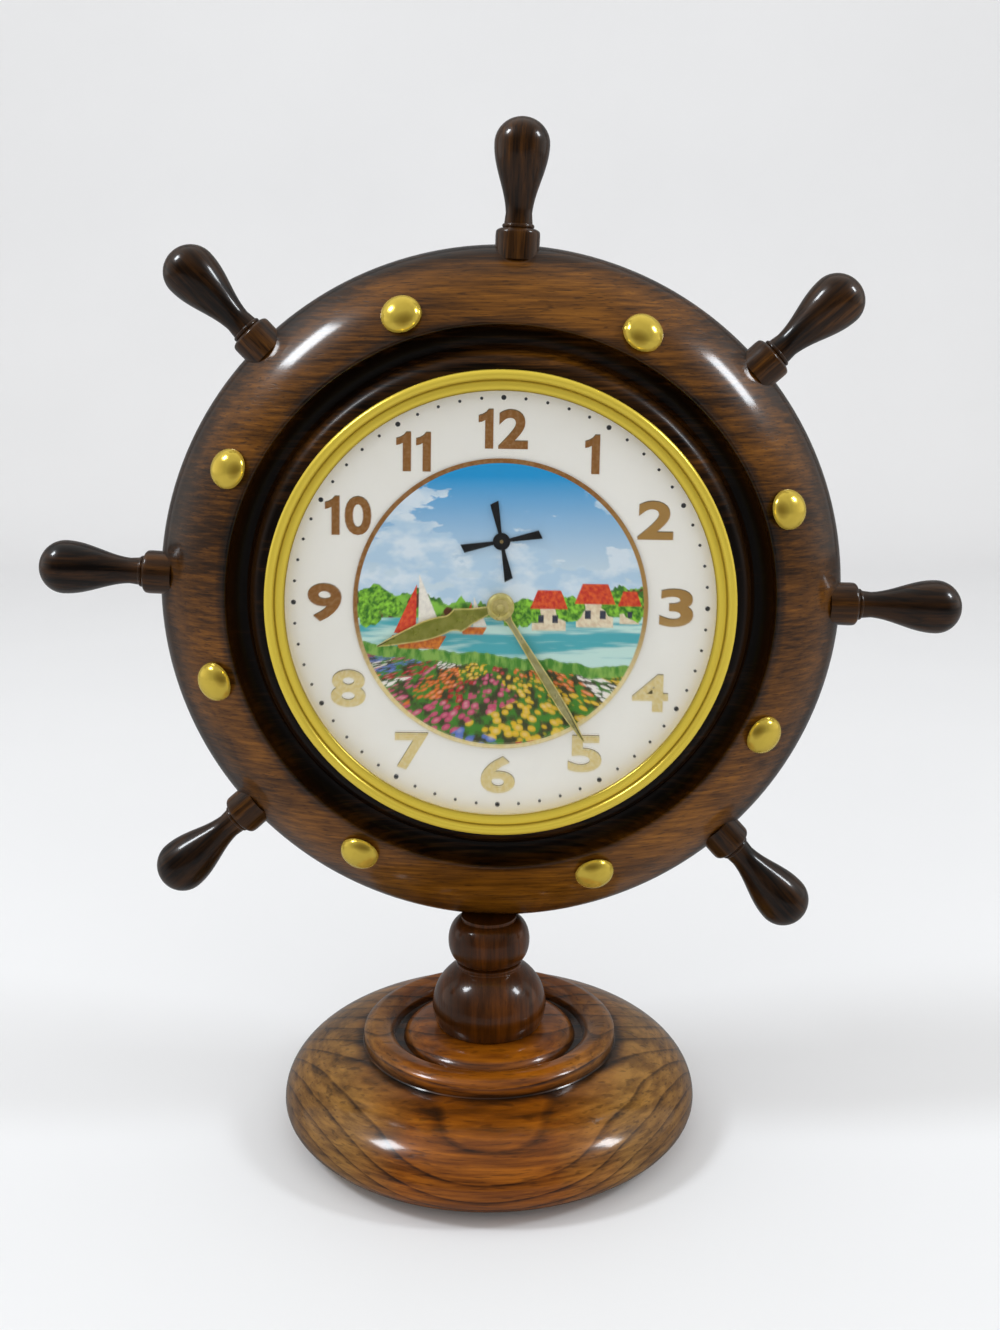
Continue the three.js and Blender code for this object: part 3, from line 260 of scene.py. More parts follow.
def woodFigureGroup():
    group, entry, leave = newGroup("woodFigure", ("Ring Scale", "Wander", "Fibre Scale", "Seed"),
                                   ("Rings", "Streaks", "Pores", "Clouds"))

    def scaled(label, number):
        return times(group, entry[label], number)

    seed = put(node(group, "CombineXYZ"), X=entry["Seed"], Y=entry["Seed"]).outputs[0]
    point = vectors(group, "ADD", entry["Point"], seed)
    slow = vectors(group, "MULTIPLY", point, woodGrain["wanderStretch"])
    drift = noise(group, slow, woodGrain["wanderScale"], 2.0).node.outputs["Color"]
    centred = vectors(group, "SUBTRACT", drift, (0.5, 0.5, 0.5))
    moved = vectors(group, "MULTIPLY", centred, scaled("Wander", woodGrain["wanderReach"]))
    x, y, z = split(group, vectors(group, "ADD", entry["Point"], moved))
    saw = maths(group, "FRACT", times(group, distance(group, y, z),
                                      scaled("Ring Scale", woodGrain["rings"])))
    late = times(group, maths(group, "POWER", saw, woodGrain["lateWood"]),
                 ranged(group, saw, 0.93, 1.0, 1.0, 0.0))
    clouds = noise(group, slow, woodGrain["cloudScale"], 3.0, Roughness=0.55)
    faint = ranged(group, clouds, 0.42, 0.60, 0.7, 1.0)
    fibres = noise(group, vectors(group, "MULTIPLY", point, woodGrain["fibreStretch"]),
                   scaled("Fibre Scale", woodGrain["fibres"]), 5.0, Roughness=0.62)
    pores = noise(group, vectors(group, "MULTIPLY", point, woodGrain["poreStretch"]),
                  scaled("Fibre Scale", woodGrain["pores"]), 1.0, Roughness=0.4)
    put(leave, Rings=times(group, faint, late), Streaks=fibres,
        Pores=ranged(group, pores, 0.60, 0.70), Clouds=clouds)
    return group


# Handling marks: faint smears in the gloss, shared by varnish, paint and metal.
def smearGroup():
    group, entry, leave = newGroup("smears", ("Size", "Low", "High"), ("Roughness",))
    marks = noise(group, entry["Point"], times(group, entry["Size"], 60.0), 4.0,
                  Roughness=0.6, Distortion=0.15)
    span = minus(group, entry["High"], entry["Low"])
    put(leave, Roughness=maths(group, "MULTIPLY_ADD", ranged(group, marks, 0.35, 0.7), span, entry["Low"]))
    return group


woodFigure = woodFigureGroup()
smears = smearGroup()


def smeared(tree, point, size, low, high):
    return useGroup(tree, smears, point, Size=size, Low=low, High=high)["Roughness"]


# Materials

# From deep shade to the lightest streaks. The base and pedestal took an oranger stain than the wheel.
woodTones = {
    "orange": ((0.0050, 0.0016, 0.0003), (0.042, 0.0115, 0.0006), (0.165, 0.043, 0.001),
               (0.34, 0.10, 0.003)),
    # olive: colours of a painted sheen, the room's reflection in the varnish
    "olive": ((0.0080, 0.0044, 0.0012), (0.066, 0.0290, 0.0050), (0.190, 0.093, 0.018),
              (0.37, 0.195, 0.042)),
    "brown": ((0.0040, 0.0014, 0.0003), (0.038, 0.0128, 0.0007), (0.136, 0.047, 0.0026),
              (0.30, 0.112, 0.008)),
}
toneSteps = (0.02, 0.30, 0.60, 0.95)


# Walnut-stained wood under gloss varnish. warmth is how light the stain is, streaky its contrast.
def stainedWood(name, pith, warmth, streaky, cloudy, seed, ringDepth, tones="brown", turn=(0, 0, 0),
                ringScale=1.0, wander=1.0, fibreScale=1.0, pores=0.6, endGrain=(1, 0, 0), shaded=None,
                wearAndSheen=None):
    material, tree, shader = newMaterial(name)
    deep, dark, middle, light = woodTones[tones]
    point = objectPoint(tree, pith, turn)
    figure = useGroup(tree, woodFigure, point, Ring_Scale=ringScale, Wander=wander,
                      Fibre_Scale=fibreScale, Seed=seed)
    tone = maths(tree, "MULTIPLY_ADD", figure["Streaks"], streaky, warmth - (streaky + cloudy) / 2)
    tone = maths(tree, "MULTIPLY_ADD", figure["Clouds"], cloudy, tone)
    if shaded:
        tone = minus(tree, tone, shaded(tree))
    tone = maths(tree, "SUBTRACT", tone, times(tree, figure["Rings"], ringDepth), clamp=True)
    colour = ramp(tree, tone, toneSteps, (deep, dark, middle, light))
    # painted sheen: as far as the given mask says, the colour turns to the olive tones, for a reflection in
    # the varnish
    if wearAndSheen:
        colour = mixed(tree, wearAndSheen(tree), colour, ramp(tree, tone, toneSteps, woodTones["olive"]))
    # stain soaks deeper into end grain
    along = vectors(tree, "DOT_PRODUCT", node(tree, "TexCoord").outputs["Normal"], endGrain)
    colour = mixed(tree, ranged(tree, maths(tree, "ABSOLUTE", along), 0.45, 1.0, 0.0, 0.55), colour, dark)
    colour = mixed(tree, times(tree, figure["Pores"], pores), colour, deep)
    height = minus(tree, times(tree, figure["Streaks"], 0.5), figure["Pores"])
    put(shader, Base_Color=colour, Roughness=smeared(tree, point, 1.0, 0.30, 0.42),
        Normal=relief(tree, height, 0.12, 0.0002), Coat_Weight=1.0, Coat_Roughness=0.12, Coat_IOR=1.40,
        Specular_IOR_Level=0.2)
    return material


# low and high are the ends of the roughness, spots is how far tarnish darkens the metal.
def metalFinish(name, colour, low, high, spots, grain=0.012, metallic=1.0):
    material, tree, shader = newMaterial(name)
    point = objectPoint(tree)
    dull = ranged(tree, noise(tree, point, 140.0, 5.0, Roughness=0.62), 0.5, 0.78, 0.0, spots)
    darker = tuple(part * share for part, share in zip(colour, (0.55, 0.46, 0.30)))
    put(shader, Base_Color=mixed(tree, dull, colour, darker), Metallic=metallic,
        Roughness=smeared(tree, point, 2.2, low, high),
        Normal=relief(tree, noise(tree, point, 2600.0, 2.0), grain, 0.0001))
    return material


def gilt(name, colour, second, metallic=0.35):
    material, tree, shader = newMaterial(name)
    point = objectPoint(tree)
    sheen = ranged(tree, noise(tree, point, 420.0, 4.0), 0.4, 0.65)
    put(shader, Base_Color=mixed(tree, sheen, colour, second), Metallic=metallic,
        Roughness=smeared(tree, point, 4.0, 0.26, 0.40))
    return material


def plainPaint(name, colour, rough, second=None, scale=300.0):
    material, tree, shader = newMaterial(name)
    mottle = noise(tree, objectPoint(tree), scale, 4.0, Roughness=0.6)
    other = second or tuple(min(1, part * 1.35 + 0.004) for part in colour)
    put(shader, Base_Color=mixed(tree, ranged(tree, mottle, 0.4, 0.62), colour, other),
        Roughness=ranged(tree, mottle, 0.3, 0.7, rough - 0.06, rough + 0.06))
    return material


# Another colour over a material's own, as far as the mask says.
def overlay(material, mask, colour):
    tree = material.node_tree
    socket = tree.nodes["Principled BSDF"].inputs["Base Color"]
    feed(socket, mixed(tree, mask, socket.links[0].from_socket, colour))


studBrass = metalFinish("stud_brass", (1.0, 0.74, 0.11), 0.15, 0.22, 0.2, metallic=0.68)
bezelBrass = metalFinish("bezel_brass", (1.0, 0.76, 0.09), 0.20, 0.25, 0.0, grain=0.0, metallic=0.5)
knobBrass = metalFinish("knob_brass", (0.78, 0.60, 0.20), 0.18, 0.32, 0.4)
plateBrass = metalFinish("movement_brass", (0.72, 0.55, 0.24), 0.28, 0.42, 0.3)
plainSteel = metalFinish("movement_steel", (0.55, 0.55, 0.54), 0.28, 0.45, 0.12, grain=0.015)
caseFinish = metalFinish("case_steel", (0.60, 0.53, 0.36), 0.30, 0.48, 0.12, grain=0.015)
coverFinish = metalFinish("cover_steel", (0.66, 0.60, 0.45), 0.26, 0.42, 0.12, grain=0.015)
hourGold = gilt("hour_gold", (0.23, 0.245, 0.030), (0.32, 0.315, 0.06))
minuteGold = gilt("minute_gold", (0.33, 0.30, 0.10), (0.46, 0.42, 0.20))
nutGold = gilt("nut_gold", (0.56, 0.48, 0.14), (0.76, 0.66, 0.28), metallic=0.4)
paleGold = gilt("pale_gold", (0.66, 0.54, 0.14), (0.80, 0.70, 0.30))
rotorBlack = plainPaint("rotor_black", (0.006, 0.006, 0.007), 0.45)
dotBlack = plainPaint("dot_black", (0.030, 0.034, 0.040), 0.5)
# painted shadow for the numerals' upper edges
numeralShadowPaint = plainPaint("numeral_shade", (0.16, 0.115, 0.055), 0.5)
print("plain finishes ready")


# Shape helpers

def arc(centreX, centreY, radiusX, radiusY, start, end, steps):
    points = []
    for i in range(steps + 1):
        angle = radians(start + (end - start) * i / steps)
        points.append((centreX + radiusX * cos(angle), centreY + radiusY * sin(angle)))
    return points


# A smooth line through points, for outlines.
def smoothLine(points, steps):
    line = []
    last = len(points) - 1
    for i in range(last):
        before = Vector(points[max(i - 1, 0)])
        start = Vector(points[i])
        end = Vector(points[i + 1])
        after = Vector(points[min(i + 2, last)])
        for k in range(steps):
            t = k / steps
            line.append(tuple(0.5 * ((2 * start) + (end - before) * t
                                     + (2 * before - 5 * start + 4 * end - after) * t * t
                                     + (3 * start - before - 3 * end + after) * t ** 3)))
    line.append(tuple(points[-1]))
    return line


# The record's finish for each material, by part of the material's name.
finishSlots = {
    "_wood": "stained_wood",
    "_brass": "polished_brass",
    "movement_steel": "movement_steel",
    "case_steel": "case_steel",
    "crystal_glass": "crystal_glass",
    "dial_paint": "dial_enamel",
    "printed": "printed_picture",
    "_gold": "gilt_hands",
    "gilt_foil": "gilt_hands",
    "rotor_black": "rotor_black",
}


def finished(name, bm, material, place=Matrix(), crease=34, body=still, replaces=(), second=None):
    bm.transform(place)
    mesh = bpy.data.meshes.new(name)
    bm.to_mesh(mesh)
    bm.free()
    mesh.shade_smooth()
    mesh.set_sharp_from_angle(angle=radians(crease))
    mesh.materials.append(material)
    if second:
        mesh.materials.append(second)
    made = newObject(name, mesh)
    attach(made, body)
    for part, slot in finishSlots.items():
        if part in material.name:
            break
    if replaces:
        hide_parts(*replaces)


# An outline of [radius, place along the axis] points, spun round Y or Z.
def turned(name, outline, material, steps, axis="Y", **rest):
    bm = bmesh.new()
    if axis == "Y":
        corners = [bm.verts.new((r * mm, p * mm, 0)) for r, p in outline]
    else:
        corners = [bm.verts.new((r * mm, 0, p * mm)) for r, p in outline]
    edges = [bm.edges.new(pair) for pair in zip(corners, corners[1:])]
    if outline[0][0] > 0:
        edges.append(bm.edges.new((corners[-1], corners[0])))
    direction = (0, 1, 0) if axis == "Y" else (0, 0, 1)
    bmesh.ops.spin(bm, geom=corners + edges, cent=(0, 0, 0), axis=direction,
                   angle=2 * pi, steps=steps, use_merge=True)
    bmesh.ops.remove_doubles(bm, verts=bm.verts, dist=1e-6)
    bmesh.ops.recalc_face_normals(bm, faces=bm.faces)
    finished(name, bm, material, **rest)


# Moves what an extrusion has just added.
def pull(bm, added, way):
    moved = [v for v in added["geom"] if isinstance(v, bmesh.types.BMVert)]
    bmesh.ops.translate(bm, verts=moved, vec=way)
    bmesh.ops.recalc_face_normals(bm, faces=bm.faces)


def plate(corners, way):
    bm = bmesh.new()
    face = bm.faces.new([bm.verts.new(corner) for corner in corners])
    pull(bm, bmesh.ops.extrude_face_region(bm, geom=[face]), way)
    return bm


# A flat piece in the dial's plane, from an outline of [x, z] points, with rounded edges.
# Its face inside a margin may have a finish of its own.
def flatPiece(name, outline, front, thickness, material, edge, margin=0.0, **rest):
    bm = plate([(x * mm, -front * mm, z * mm) for x, z in outline], (0, thickness * mm, 0))

    def inFront(part):
        return all(abs(v.co.y + front * mm) < 1e-7 for v in part.verts)

    bmesh.ops.bevel(bm, geom=[e for e in bm.edges if inFront(e)], offset=edge * mm, affect="EDGES",
                    segments=2, profile=0.5, material=-1)
    if margin > 0:
        faces = [f for f in bm.faces if inFront(f)]
        bmesh.ops.inset_region(bm, faces=faces, thickness=margin * mm, use_even_offset=True)
        for f in faces:
            f.material_index = 1
    finished(name, bm, material, **rest)


# Base and pedestal. Pairs are a radius and a height.

base = {
    "foot": 42.0,
    "radius": 56.6,
    "widest": 8.0,
    "domeTop": (33.0, 22.5),
    "collar": (34.8, 25.6),
    "crest": (31.2, 27.3),
    "dish": (26.2, 22.8),
    "cushion": 23.6,
    "seat": (16.5, 26.7),
    "wood": {"tones": "orange", "pith": (0.004, 0.025, 0.0412), "ringScale": 1.56, "ringDepth": 0.62,
             "wander": 0.5, "warmth": 0.68, "streaky": 1.35, "cloudy": 0.45, "seed": 0.3, "pores": 0.4},
    "sideSheen": (30, 50, 0, 0.8),               # painted sheen: from and to a distance aside, and by how much
    "sheenDrift": 0.024,                     # metres that the painted sheen's edge wanders
    "cornerWidth": (34.6, 38.0, 0.5, 0),    # painted shade in the corner, by radius and by height
    "cornerHeight": (22.8, 24.6, 1, 0),
}


# Painted sheen: both sides of the base turn olive, for the room's reflection in the varnish.
def sideFade(tree):
    point = objectPoint(tree)
    x, y, z = split(tree, point)
    drift = noise(tree, point, 38.0, 3.0)
    aside = maths(tree, "MULTIPLY_ADD", drift, base["sheenDrift"], maths(tree, "ABSOLUTE", x))
    return between(tree, aside, *base["sideSheen"])


# Painted shade: the wood is darker in the corner under the collar and in the dish, where shade falls.
def cornerShade(tree):
    x, y, z = split(tree, objectPoint(tree))
    return times(tree, between(tree, distance(tree, x, y), *base["cornerWidth"]),
                 between(tree, z, *base["cornerHeight"]))


def addBase():
    foot, radius, widest, cushion = base["foot"], base["radius"], base["widest"], base["cushion"]
    domeRadius, domeTop = base["domeTop"]
    collar, collarTop = base["collar"]
    crest, crestTop = base["crest"]
    dish, dishFloor = base["dish"]
    seat, seatTop = base["seat"]
    outline = [(0, 0), (foot - 0.6, 0), (foot + 0.3, 0.1)]
    outline += arc(foot, widest, radius - foot, widest - 0.1, -75, 0, 12)
    outline += arc(domeRadius, widest, radius - domeRadius, domeTop - widest, 4, 86, 26)
    outline += [(collar + 0.25, domeTop + 0.05), (collar, domeTop + 0.3)]
    outline += smoothLine([(collar, collarTop - 0.9), (collar - 0.2, collarTop),
                           (collar - 1.2, collarTop + 0.9), (crest + 1, crestTop - 0.12),
                           (crest, crestTop), (crest - 2.2, crestTop - 0.35),
                           (dish + 1.3, crestTop - 1.2), (dish + 0.3, crestTop - 2.4),
                           (dish, dishFloor + 0.9)], 4)
    outline += [(dish - 0.3, dishFloor + 0.1), (dish - 0.9, dishFloor - 0.1),
                (cushion + 0.2, dishFloor + 0.1)]
    outline += arc(seat, dishFloor, cushion - seat, seatTop - dishFloor, 8, 90, 10)
    outline += [(0, seatTop)]
    material = stainedWood("base_wood", **base["wood"], wearAndSheen=sideFade, shaded=cornerShade)
    turned("base_turning", outline, material, 128, axis="Z", replaces=["base"])


pedestal = {
    "bottom": 27.0,
    "ball": (15.7, 13.4),     # radius and half height
    "ballMiddle": 32.2,
    "neck": 8.0,
    "neckHeight": 1.0,
    "bead": (11.2, 11.9),
    "beadEnd": 7.6,
    "top": 1.0,
    "wood": {"tones": "orange", "pith": (-0.02, 0.012, -0.035), "turn": (0, pi / 2, 0),
             "ringDepth": 0.05, "warmth": 0.33, "streaky": 0.5, "cloudy": 0.7, "seed": 2.1,
             "endGrain": (0, 0, 1), "pores": 0.3},
}


def addPedestal():
    radius, half = pedestal["ball"]
    middle, bottom, neck = pedestal["ballMiddle"], pedestal["bottom"], pedestal["neck"]
    neckBottom = middle + half * sqrt(1 - (neck / radius) ** 2)
    beadBottom = neckBottom + pedestal["neckHeight"]
    beadRadius, beadHeight = pedestal["bead"]
    beadEnd = pedestal["beadEnd"]
    low = degrees(-acos(sqrt(1 - ((middle - bottom) / half) ** 2)))
    high = degrees(acos(neck / radius))
    outline = [(0, bottom)] + arc(0, middle, radius, half, low, high - 4, 30)
    outline += [(neck + 0.9, neckBottom - 0.1), (neck + 1.1, neckBottom + 0.25),
                (neck + 1.0, neckBottom + 0.7), (neck + 0.2, beadBottom)]
    outline += arc(beadEnd, beadBottom + beadHeight / 2, beadRadius - beadEnd, beadHeight / 2, -84, 84, 24)
    top = beadBottom + beadHeight
    outline += [(beadEnd, top), (beadEnd, top + pedestal["top"]), (0, top + pedestal["top"])]
    material = stainedWood("pedestal_wood", **pedestal["wood"])
    turned("pedestal_turning", outline, material, 96, axis="Z", replaces=["pedestal"])


addBase()
addPedestal()
print("base and pedestal done")


# Wheel ring. Its depths count forward from the wheel's middle, and the back counts backward.

ring = {
    "radius": 90.8,
    "back": 11.0,
    "round": 5.2,
    "ridge": (70.9, 15.4),      # radius and depth
    "ridgeHalf": 0.7,           # half the ridge's width
    "shoulder": (87.2, 4.4),
    "edge": ((88.55, 2.9), (89.7, 1.1), (90.5, -1.2), (90.8, -4.2)),
    "bulge": 1.1,
    "cove": 4.4,
    "bossFoot": 64.5,
    "bossTop": 60.4,
    "bossFront": 17.8,
    "bossRound": 6.4,
    "bore": 57.1,
    "wood": {"pith": (-0.0034, -0.012, -0.112), "ringScale": 0.62, "ringDepth": 0.14, "warmth": 0.46,
             "streaky": 1.05, "cloudy": 1.0, "seed": 5.2, "fibreScale": 1.45, "pores": 0.5},
}

# Zones of the ring's painted shade and light and of its varnish: from and to a place in mm, and the shade
# at both
ringZones = {
    "frontDepth": (-10, -3, 1, 0),
    "bossHeight": (-30, 40, 0.62, 0.30),
    "towardCove": (63.5, 67.5),
    "coveShade": 0.54,
    "beforeRidge": (68.8, 73.2, 1, 0),
    "rim": (85.0, 89.5, 0, 0.36),
    "topAndFoot": (-10, 10, -2.6, 1.6),     # how fast painted light pales the wood with each metre of height
    "middlePaler": -0.03,
    "backVarnish": (-10, -3, 0, 0.88),
    "ridgeVarnish": (69.0, 71.2, 0.12, 1),
    "rimVarnish": (88.8, 90.4, 1, 0.4),
}


# Painted shade and light: the wood is darker in the cove, on the boss (most at its foot) and round the rim,
# where shade falls, and paler at the wheel's top and foot, where more light falls.
def ringShade(tree):
    across, depth, height = fromAxle(tree)
    boss = between(tree, height, *ringZones["bossHeight"])
    change = minus(tree, ringZones["coveShade"], boss)
    hollow = maths(tree, "MULTIPLY_ADD", between(tree, across, *ringZones["towardCove"]), change, boss)
    inner = times(tree, hollow, between(tree, across, *ringZones["beforeRidge"]))
    inner = times(tree, inner, between(tree, depth, *ringZones["frontDepth"]))
    ends = maths(tree, "MULTIPLY_ADD", height, between(tree, height, *ringZones["topAndFoot"]),
                 ringZones["middlePaler"])
    rim = between(tree, across, *ringZones["rim"])
    return minus(tree, plus(tree, inner, rim), ends)


# The varnish has dulled in the cove and at the rim.
def varnishLeft(tree):
    across, depth, height = fromAxle(tree)
    face = times(tree, between(tree, across, *ringZones["ridgeVarnish"]),
                 between(tree, across, *ringZones["rimVarnish"]))
    return maths(tree, "ADD", face, between(tree, depth, *ringZones["backVarnish"]), clamp=True)


def addRing():
    ridge, ridgeDepth = ring["ridge"]
    shoulder, shoulderDepth = ring["shoulder"]
    halfWidth, cove, rounding, front = ring["ridgeHalf"], ring["cove"], ring["round"], ring["bossFront"]
    outline = [(ring["bore"], ring["back"]), (ring["bore"], -front)]
    outline += arc(ring["bossTop"], -front + ring["bossRound"], ring["bossFoot"] - ring["bossTop"],
                   ring["bossRound"], -90, -6, 12)
    outline += arc(ridge - halfWidth - cove, -ridgeDepth, cove, cove, 94, 10, 12)
    outline += smoothLine([(ridge - 0.62, -ridgeDepth + 0.1), (ridge - 0.35, -ridgeDepth - 0.2),
                           (ridge + 0.1, -ridgeDepth - 0.24), (ridge + halfWidth, -ridgeDepth + 0.05)], 3)
    start = ridge + halfWidth
    for i in range(1, 12):
        t = i / 12
        bulge = ring["bulge"] * sin(pi * t)
        outline.append((start + (shoulder - start) * t + bulge * 0.6,
                        -(ridgeDepth + (shoulderDepth - ridgeDepth) * t + bulge)))
    outline += smoothLine([(r, -depth) for r, depth in (ring["shoulder"], *ring["edge"])], 5)
    outline += arc(ring["radius"] - rounding, ring["back"] - rounding, rounding, rounding, 0, 90, 10)
    material = stainedWood("ring_wood", **ring["wood"], shaded=ringShade)
    tree = material.node_tree
    put(tree.nodes["Principled BSDF"], Coat_Weight=varnishLeft(tree))
    turned("ring_turning", outline, material, 192, place=wheelPlace, replaces=["wheel_ring"])


addRing()


# Handles. Pairs are a radius and a length, or a radius and a place along the handle.

handle = {
    "seat": 90.2,
    "foot": 3.4,          # the collar reaches this far down into the rim's curve
    "collar": (5.7, 4.4),
    "bead": (4.1, 1.2),
    "neck": (3.35, 7.0),
    "knob": (7.1, 25.4),
    "length": 32.2,
    "angles": (0, 45.9, 89.2, 135.2, 226.2, 270.7, 313.7),
    "warmths": (0.29, 0.37, 0.29, 0.33, 0.31, 0.31, 0.39),
    "wood": {"ringScale": 1.1, "ringDepth": 0.15, "streaky": 0.9, "cloudy": 0.9},
    "shade": (93.5, 99.0, 0, 0.16),
}


# Handles are darker beyond their collars.
def handleShade(tree):
    return between(tree, fromAxle(tree)[0], *handle["shade"])


def handleOutline():
    collar, collarLength = handle["collar"]
    bead, beadLength = handle["bead"]
    neck, neckPlace = handle["neck"]
    knob, knobPlace = handle["knob"]
    outline = [(0, -handle["foot"]), (collar, -handle["foot"])]
    outline += smoothLine([(collar, 0.3), (collar, collarLength - 1.3),
                           (collar - 0.35, collarLength - 0.45), (collar - 1.2, collarLength)], 4)
    outline += [(bead - 0.25, collarLength + 0.05)]
    outline += arc(bead - 0.55, collarLength + beadLength / 2, 0.6, beadLength / 2, -70, 80, 6)
    for i in range(1, 15):
        t = i / 15
        swell = (1 - cos(pi * t)) / 2
        outline.append((neck + (knob - neck) * swell, neckPlace + (knobPlace - neckPlace) * t))
    outline += arc(0, knobPlace, knob, handle["length"] - knobPlace, 0, 90, 12)[:-1]
    return outline + [(0, handle["length"])]


def addHandles():
    for i, (angle, warmth) in enumerate(zip(handle["angles"], handle["warmths"])):
        turn = angle + places["wheelTurn"]
        along = (sin(radians(turn)), 0, cos(radians(turn)))
        material = stainedWood(f"handle_wood_{i + 1}", **handle["wood"], turn=(0, radians(90 - turn), 0),
                               pith=(0, 0.016, 0.013 + 0.004 * i), warmth=warmth, seed=7.0 + 3.1 * i,
                               endGrain=along, shaded=handleShade)
        turned(f"handle_turning_{i + 1}", handleOutline(), material, 64, axis="Z",
               place=wheelPlace @ clockwise(turn) @ shifted(0, 0, handle["seat"]),
               replaces=[f"handle_{i + 1}"])


addHandles()
print("wheel done")


# Brass studs

stud = {
    "circle": 76.0,
    "head": (5.2, 3.5),
    "lift": 0.3,
    "proud": 0.28,        # how far the ring's rounded face stands off its straight slope,
    "bulgeShare": 0.9,    # with this share of its bulge
    "nudges": (0.3, -0.3, 0, -1, 1.7, 1.9, -0.8, -1),   # degrees that each was driven off its place
    "middle": (0.34, 0.19, 0.015),
    "middleReach": 0.10,
    "middleShare": 0.7,
}


# Painted reflection: each head's middle is coloured darker, for the dark room it mirrors.
def darkenMiddles():
    tree = studBrass.node_tree
    facing = put(node(tree, "LayerWeight"), Blend=0.5).outputs["Facing"]
    mask = ranged(tree, facing, 0.0, stud["middleReach"], stud["middleShare"], 0.0)
    overlay(studBrass, mask, stud["middle"])


def addStuds():
    ridge, ridgeDepth = ring["ridge"]
    shoulder, shoulderDepth = ring["shoulder"]
    slope = atan2(ridgeDepth - shoulderDepth, shoulder - ridge)
    depth = ridgeDepth + (shoulderDepth - ridgeDepth) * (stud["circle"] - ridge) / (shoulder - ridge)
    proud = stud["proud"] + ring["bulge"] * stud["bulgeShare"]
    radius, height = stud["head"]
    outline = [(0, 0), (radius - 0.25, -0.25), (radius, -0.05)]
    outline += arc(0, 0.1, radius, height - 0.1, 0, 90, 12)[1:-1]
    outline += [(0, height)]
    seat = shifted(0, -depth - proud * cos(slope), stud["circle"] + proud * sin(slope))
    seat = seat @ Matrix.Rotation(pi / 2 - slope, 4, "X") @ shifted(0, 0, stud["lift"])
    for i, nudge in enumerate(stud["nudges"]):
        turn = places["studTurn"] + nudge + (i + 0.5) * 360 / len(stud["nudges"])
        turned(f"stud_head_{i + 1}", outline, studBrass, 40, axis="Z",
               place=wheelPlace @ clockwise(turn) @ seat, replaces=[f"brass_stud_{i + 1}"])


darkenMiddles()
addStuds()
print("studs done")


# Bezel and crystal. Fronts, the lip, the seat and the backs count forward from the wheel's middle.

bezel = {
    "radius": 59.5,
    "groove": 57.0,
    "inner": 54.3,
    "beadFront": 22.7,
    "grooveFront": 21.5,
    "lip": 21.1,
    "seat": 18.1,
    "skirt": (55.9, 56.7, 10.1),    # inner and outer radius, back
    "brown": (0.20, 0.14, 0.018),
    "grooveBrown": (0.1, 0.6, 0.55, 0),
    "edgeBrown": (54.4, 55.0, 0.6, 0),
}

crystal = {
    "edge": 55.3,
    "dome": 53.3,
    "back": 19.4,
    "wall": 1.1,
    "rise": 3.0,
}


# The bezel is coloured browner in its groove and along its inner edge.
def ageBezel():
    tree = bezelBrass.node_tree
    across = fromAxle(tree)[0]
    fromGroove = maths(tree, "ABSOLUTE", minus(tree, across, bezel["groove"] * mm))
    mask = maths(tree, "MAXIMUM", between(tree, fromGroove, *bezel["grooveBrown"]),
                 between(tree, across, *bezel["edgeBrown"]))
    overlay(bezelBrass, mask, bezel["brown"])


def addBezel():
    radius, groove, inner, lip, seat = [bezel[key] for key in ("radius", "groove", "inner", "lip", "seat")]
    front, grooveFront = bezel["beadFront"], bezel["grooveFront"]
    skirtInner, skirtOuter, skirtBack = bezel["skirt"]
    beadHalf = (radius - groove) / 2
    bandHalf = (groove - inner) / 2
    outline = [(skirtInner, -skirtBack), (skirtInner, -lip + 0.3), (inner, -lip + 0.3),
               (inner, -lip - 0.45)]
    outline += arc(inner + bandHalf, -grooveFront + 0.25, bandHalf - 0.05, 0.75, -165, -18, 10)
    outline += arc(radius - beadHalf, -grooveFront, beadHalf, front - grooveFront, -168, 0, 14)
    outline += [(radius, -seat - 0.8), (radius - 0.25, -seat - 0.2), (radius - 0.8, -seat),
                (skirtOuter, -seat), (skirtOuter, -skirtBack)]
    turned("bezel_ring", outline, bezelBrass, 192, place=dialPlace, replaces=["bezel"])


def clearGlass():
    material, tree, shader = newMaterial("crystal_glass")
    film = ranged(tree, noise(tree, objectPoint(tree), 18.0, 1.0), 0.3, 0.7, 0.012, 0.03)
    put(shader, Roughness=film, Base_Color=(1, 1, 1), Transmission_Weight=1.0, IOR=1.45, Alpha=0.15)
    return material


def addCrystal():
    back, wall = -crystal["back"], crystal["wall"]
    dome = [(crystal["dome"] * i / 16, back - crystal["rise"] * (1 - (i / 16) ** 2)) for i in range(17)]
    outline = dome + [(crystal["edge"], back), (crystal["edge"], back - wall)]
    outline += [(r, depth - wall) for r, depth in reversed(dome)]
    turned("crystal_dome", outline, clearGlass(), 96, place=dialPlace, crease=50, replaces=["crystal"])


ageBezel()
addBezel()
addCrystal()
print("bezel and crystal done")


# Dial, numerals and minute dots

dial = {
    "radius": 55.3,
    "hole": 2.9,
    "front": 18.1,
    "thickness": 0.8,
    "paint": (0.93, 0.92, 0.865),
    "paintAged": (0.90, 0.885, 0.82),
    "pictureRadius": 37.2,
    "pictureFront": 18.7,
    "numeralCircle": 44.6,
    "dotCircle": 52.5,
    "hourDot": 0.64,
    "minuteDot": 0.40,
    "dotThickness": 0.06,
}


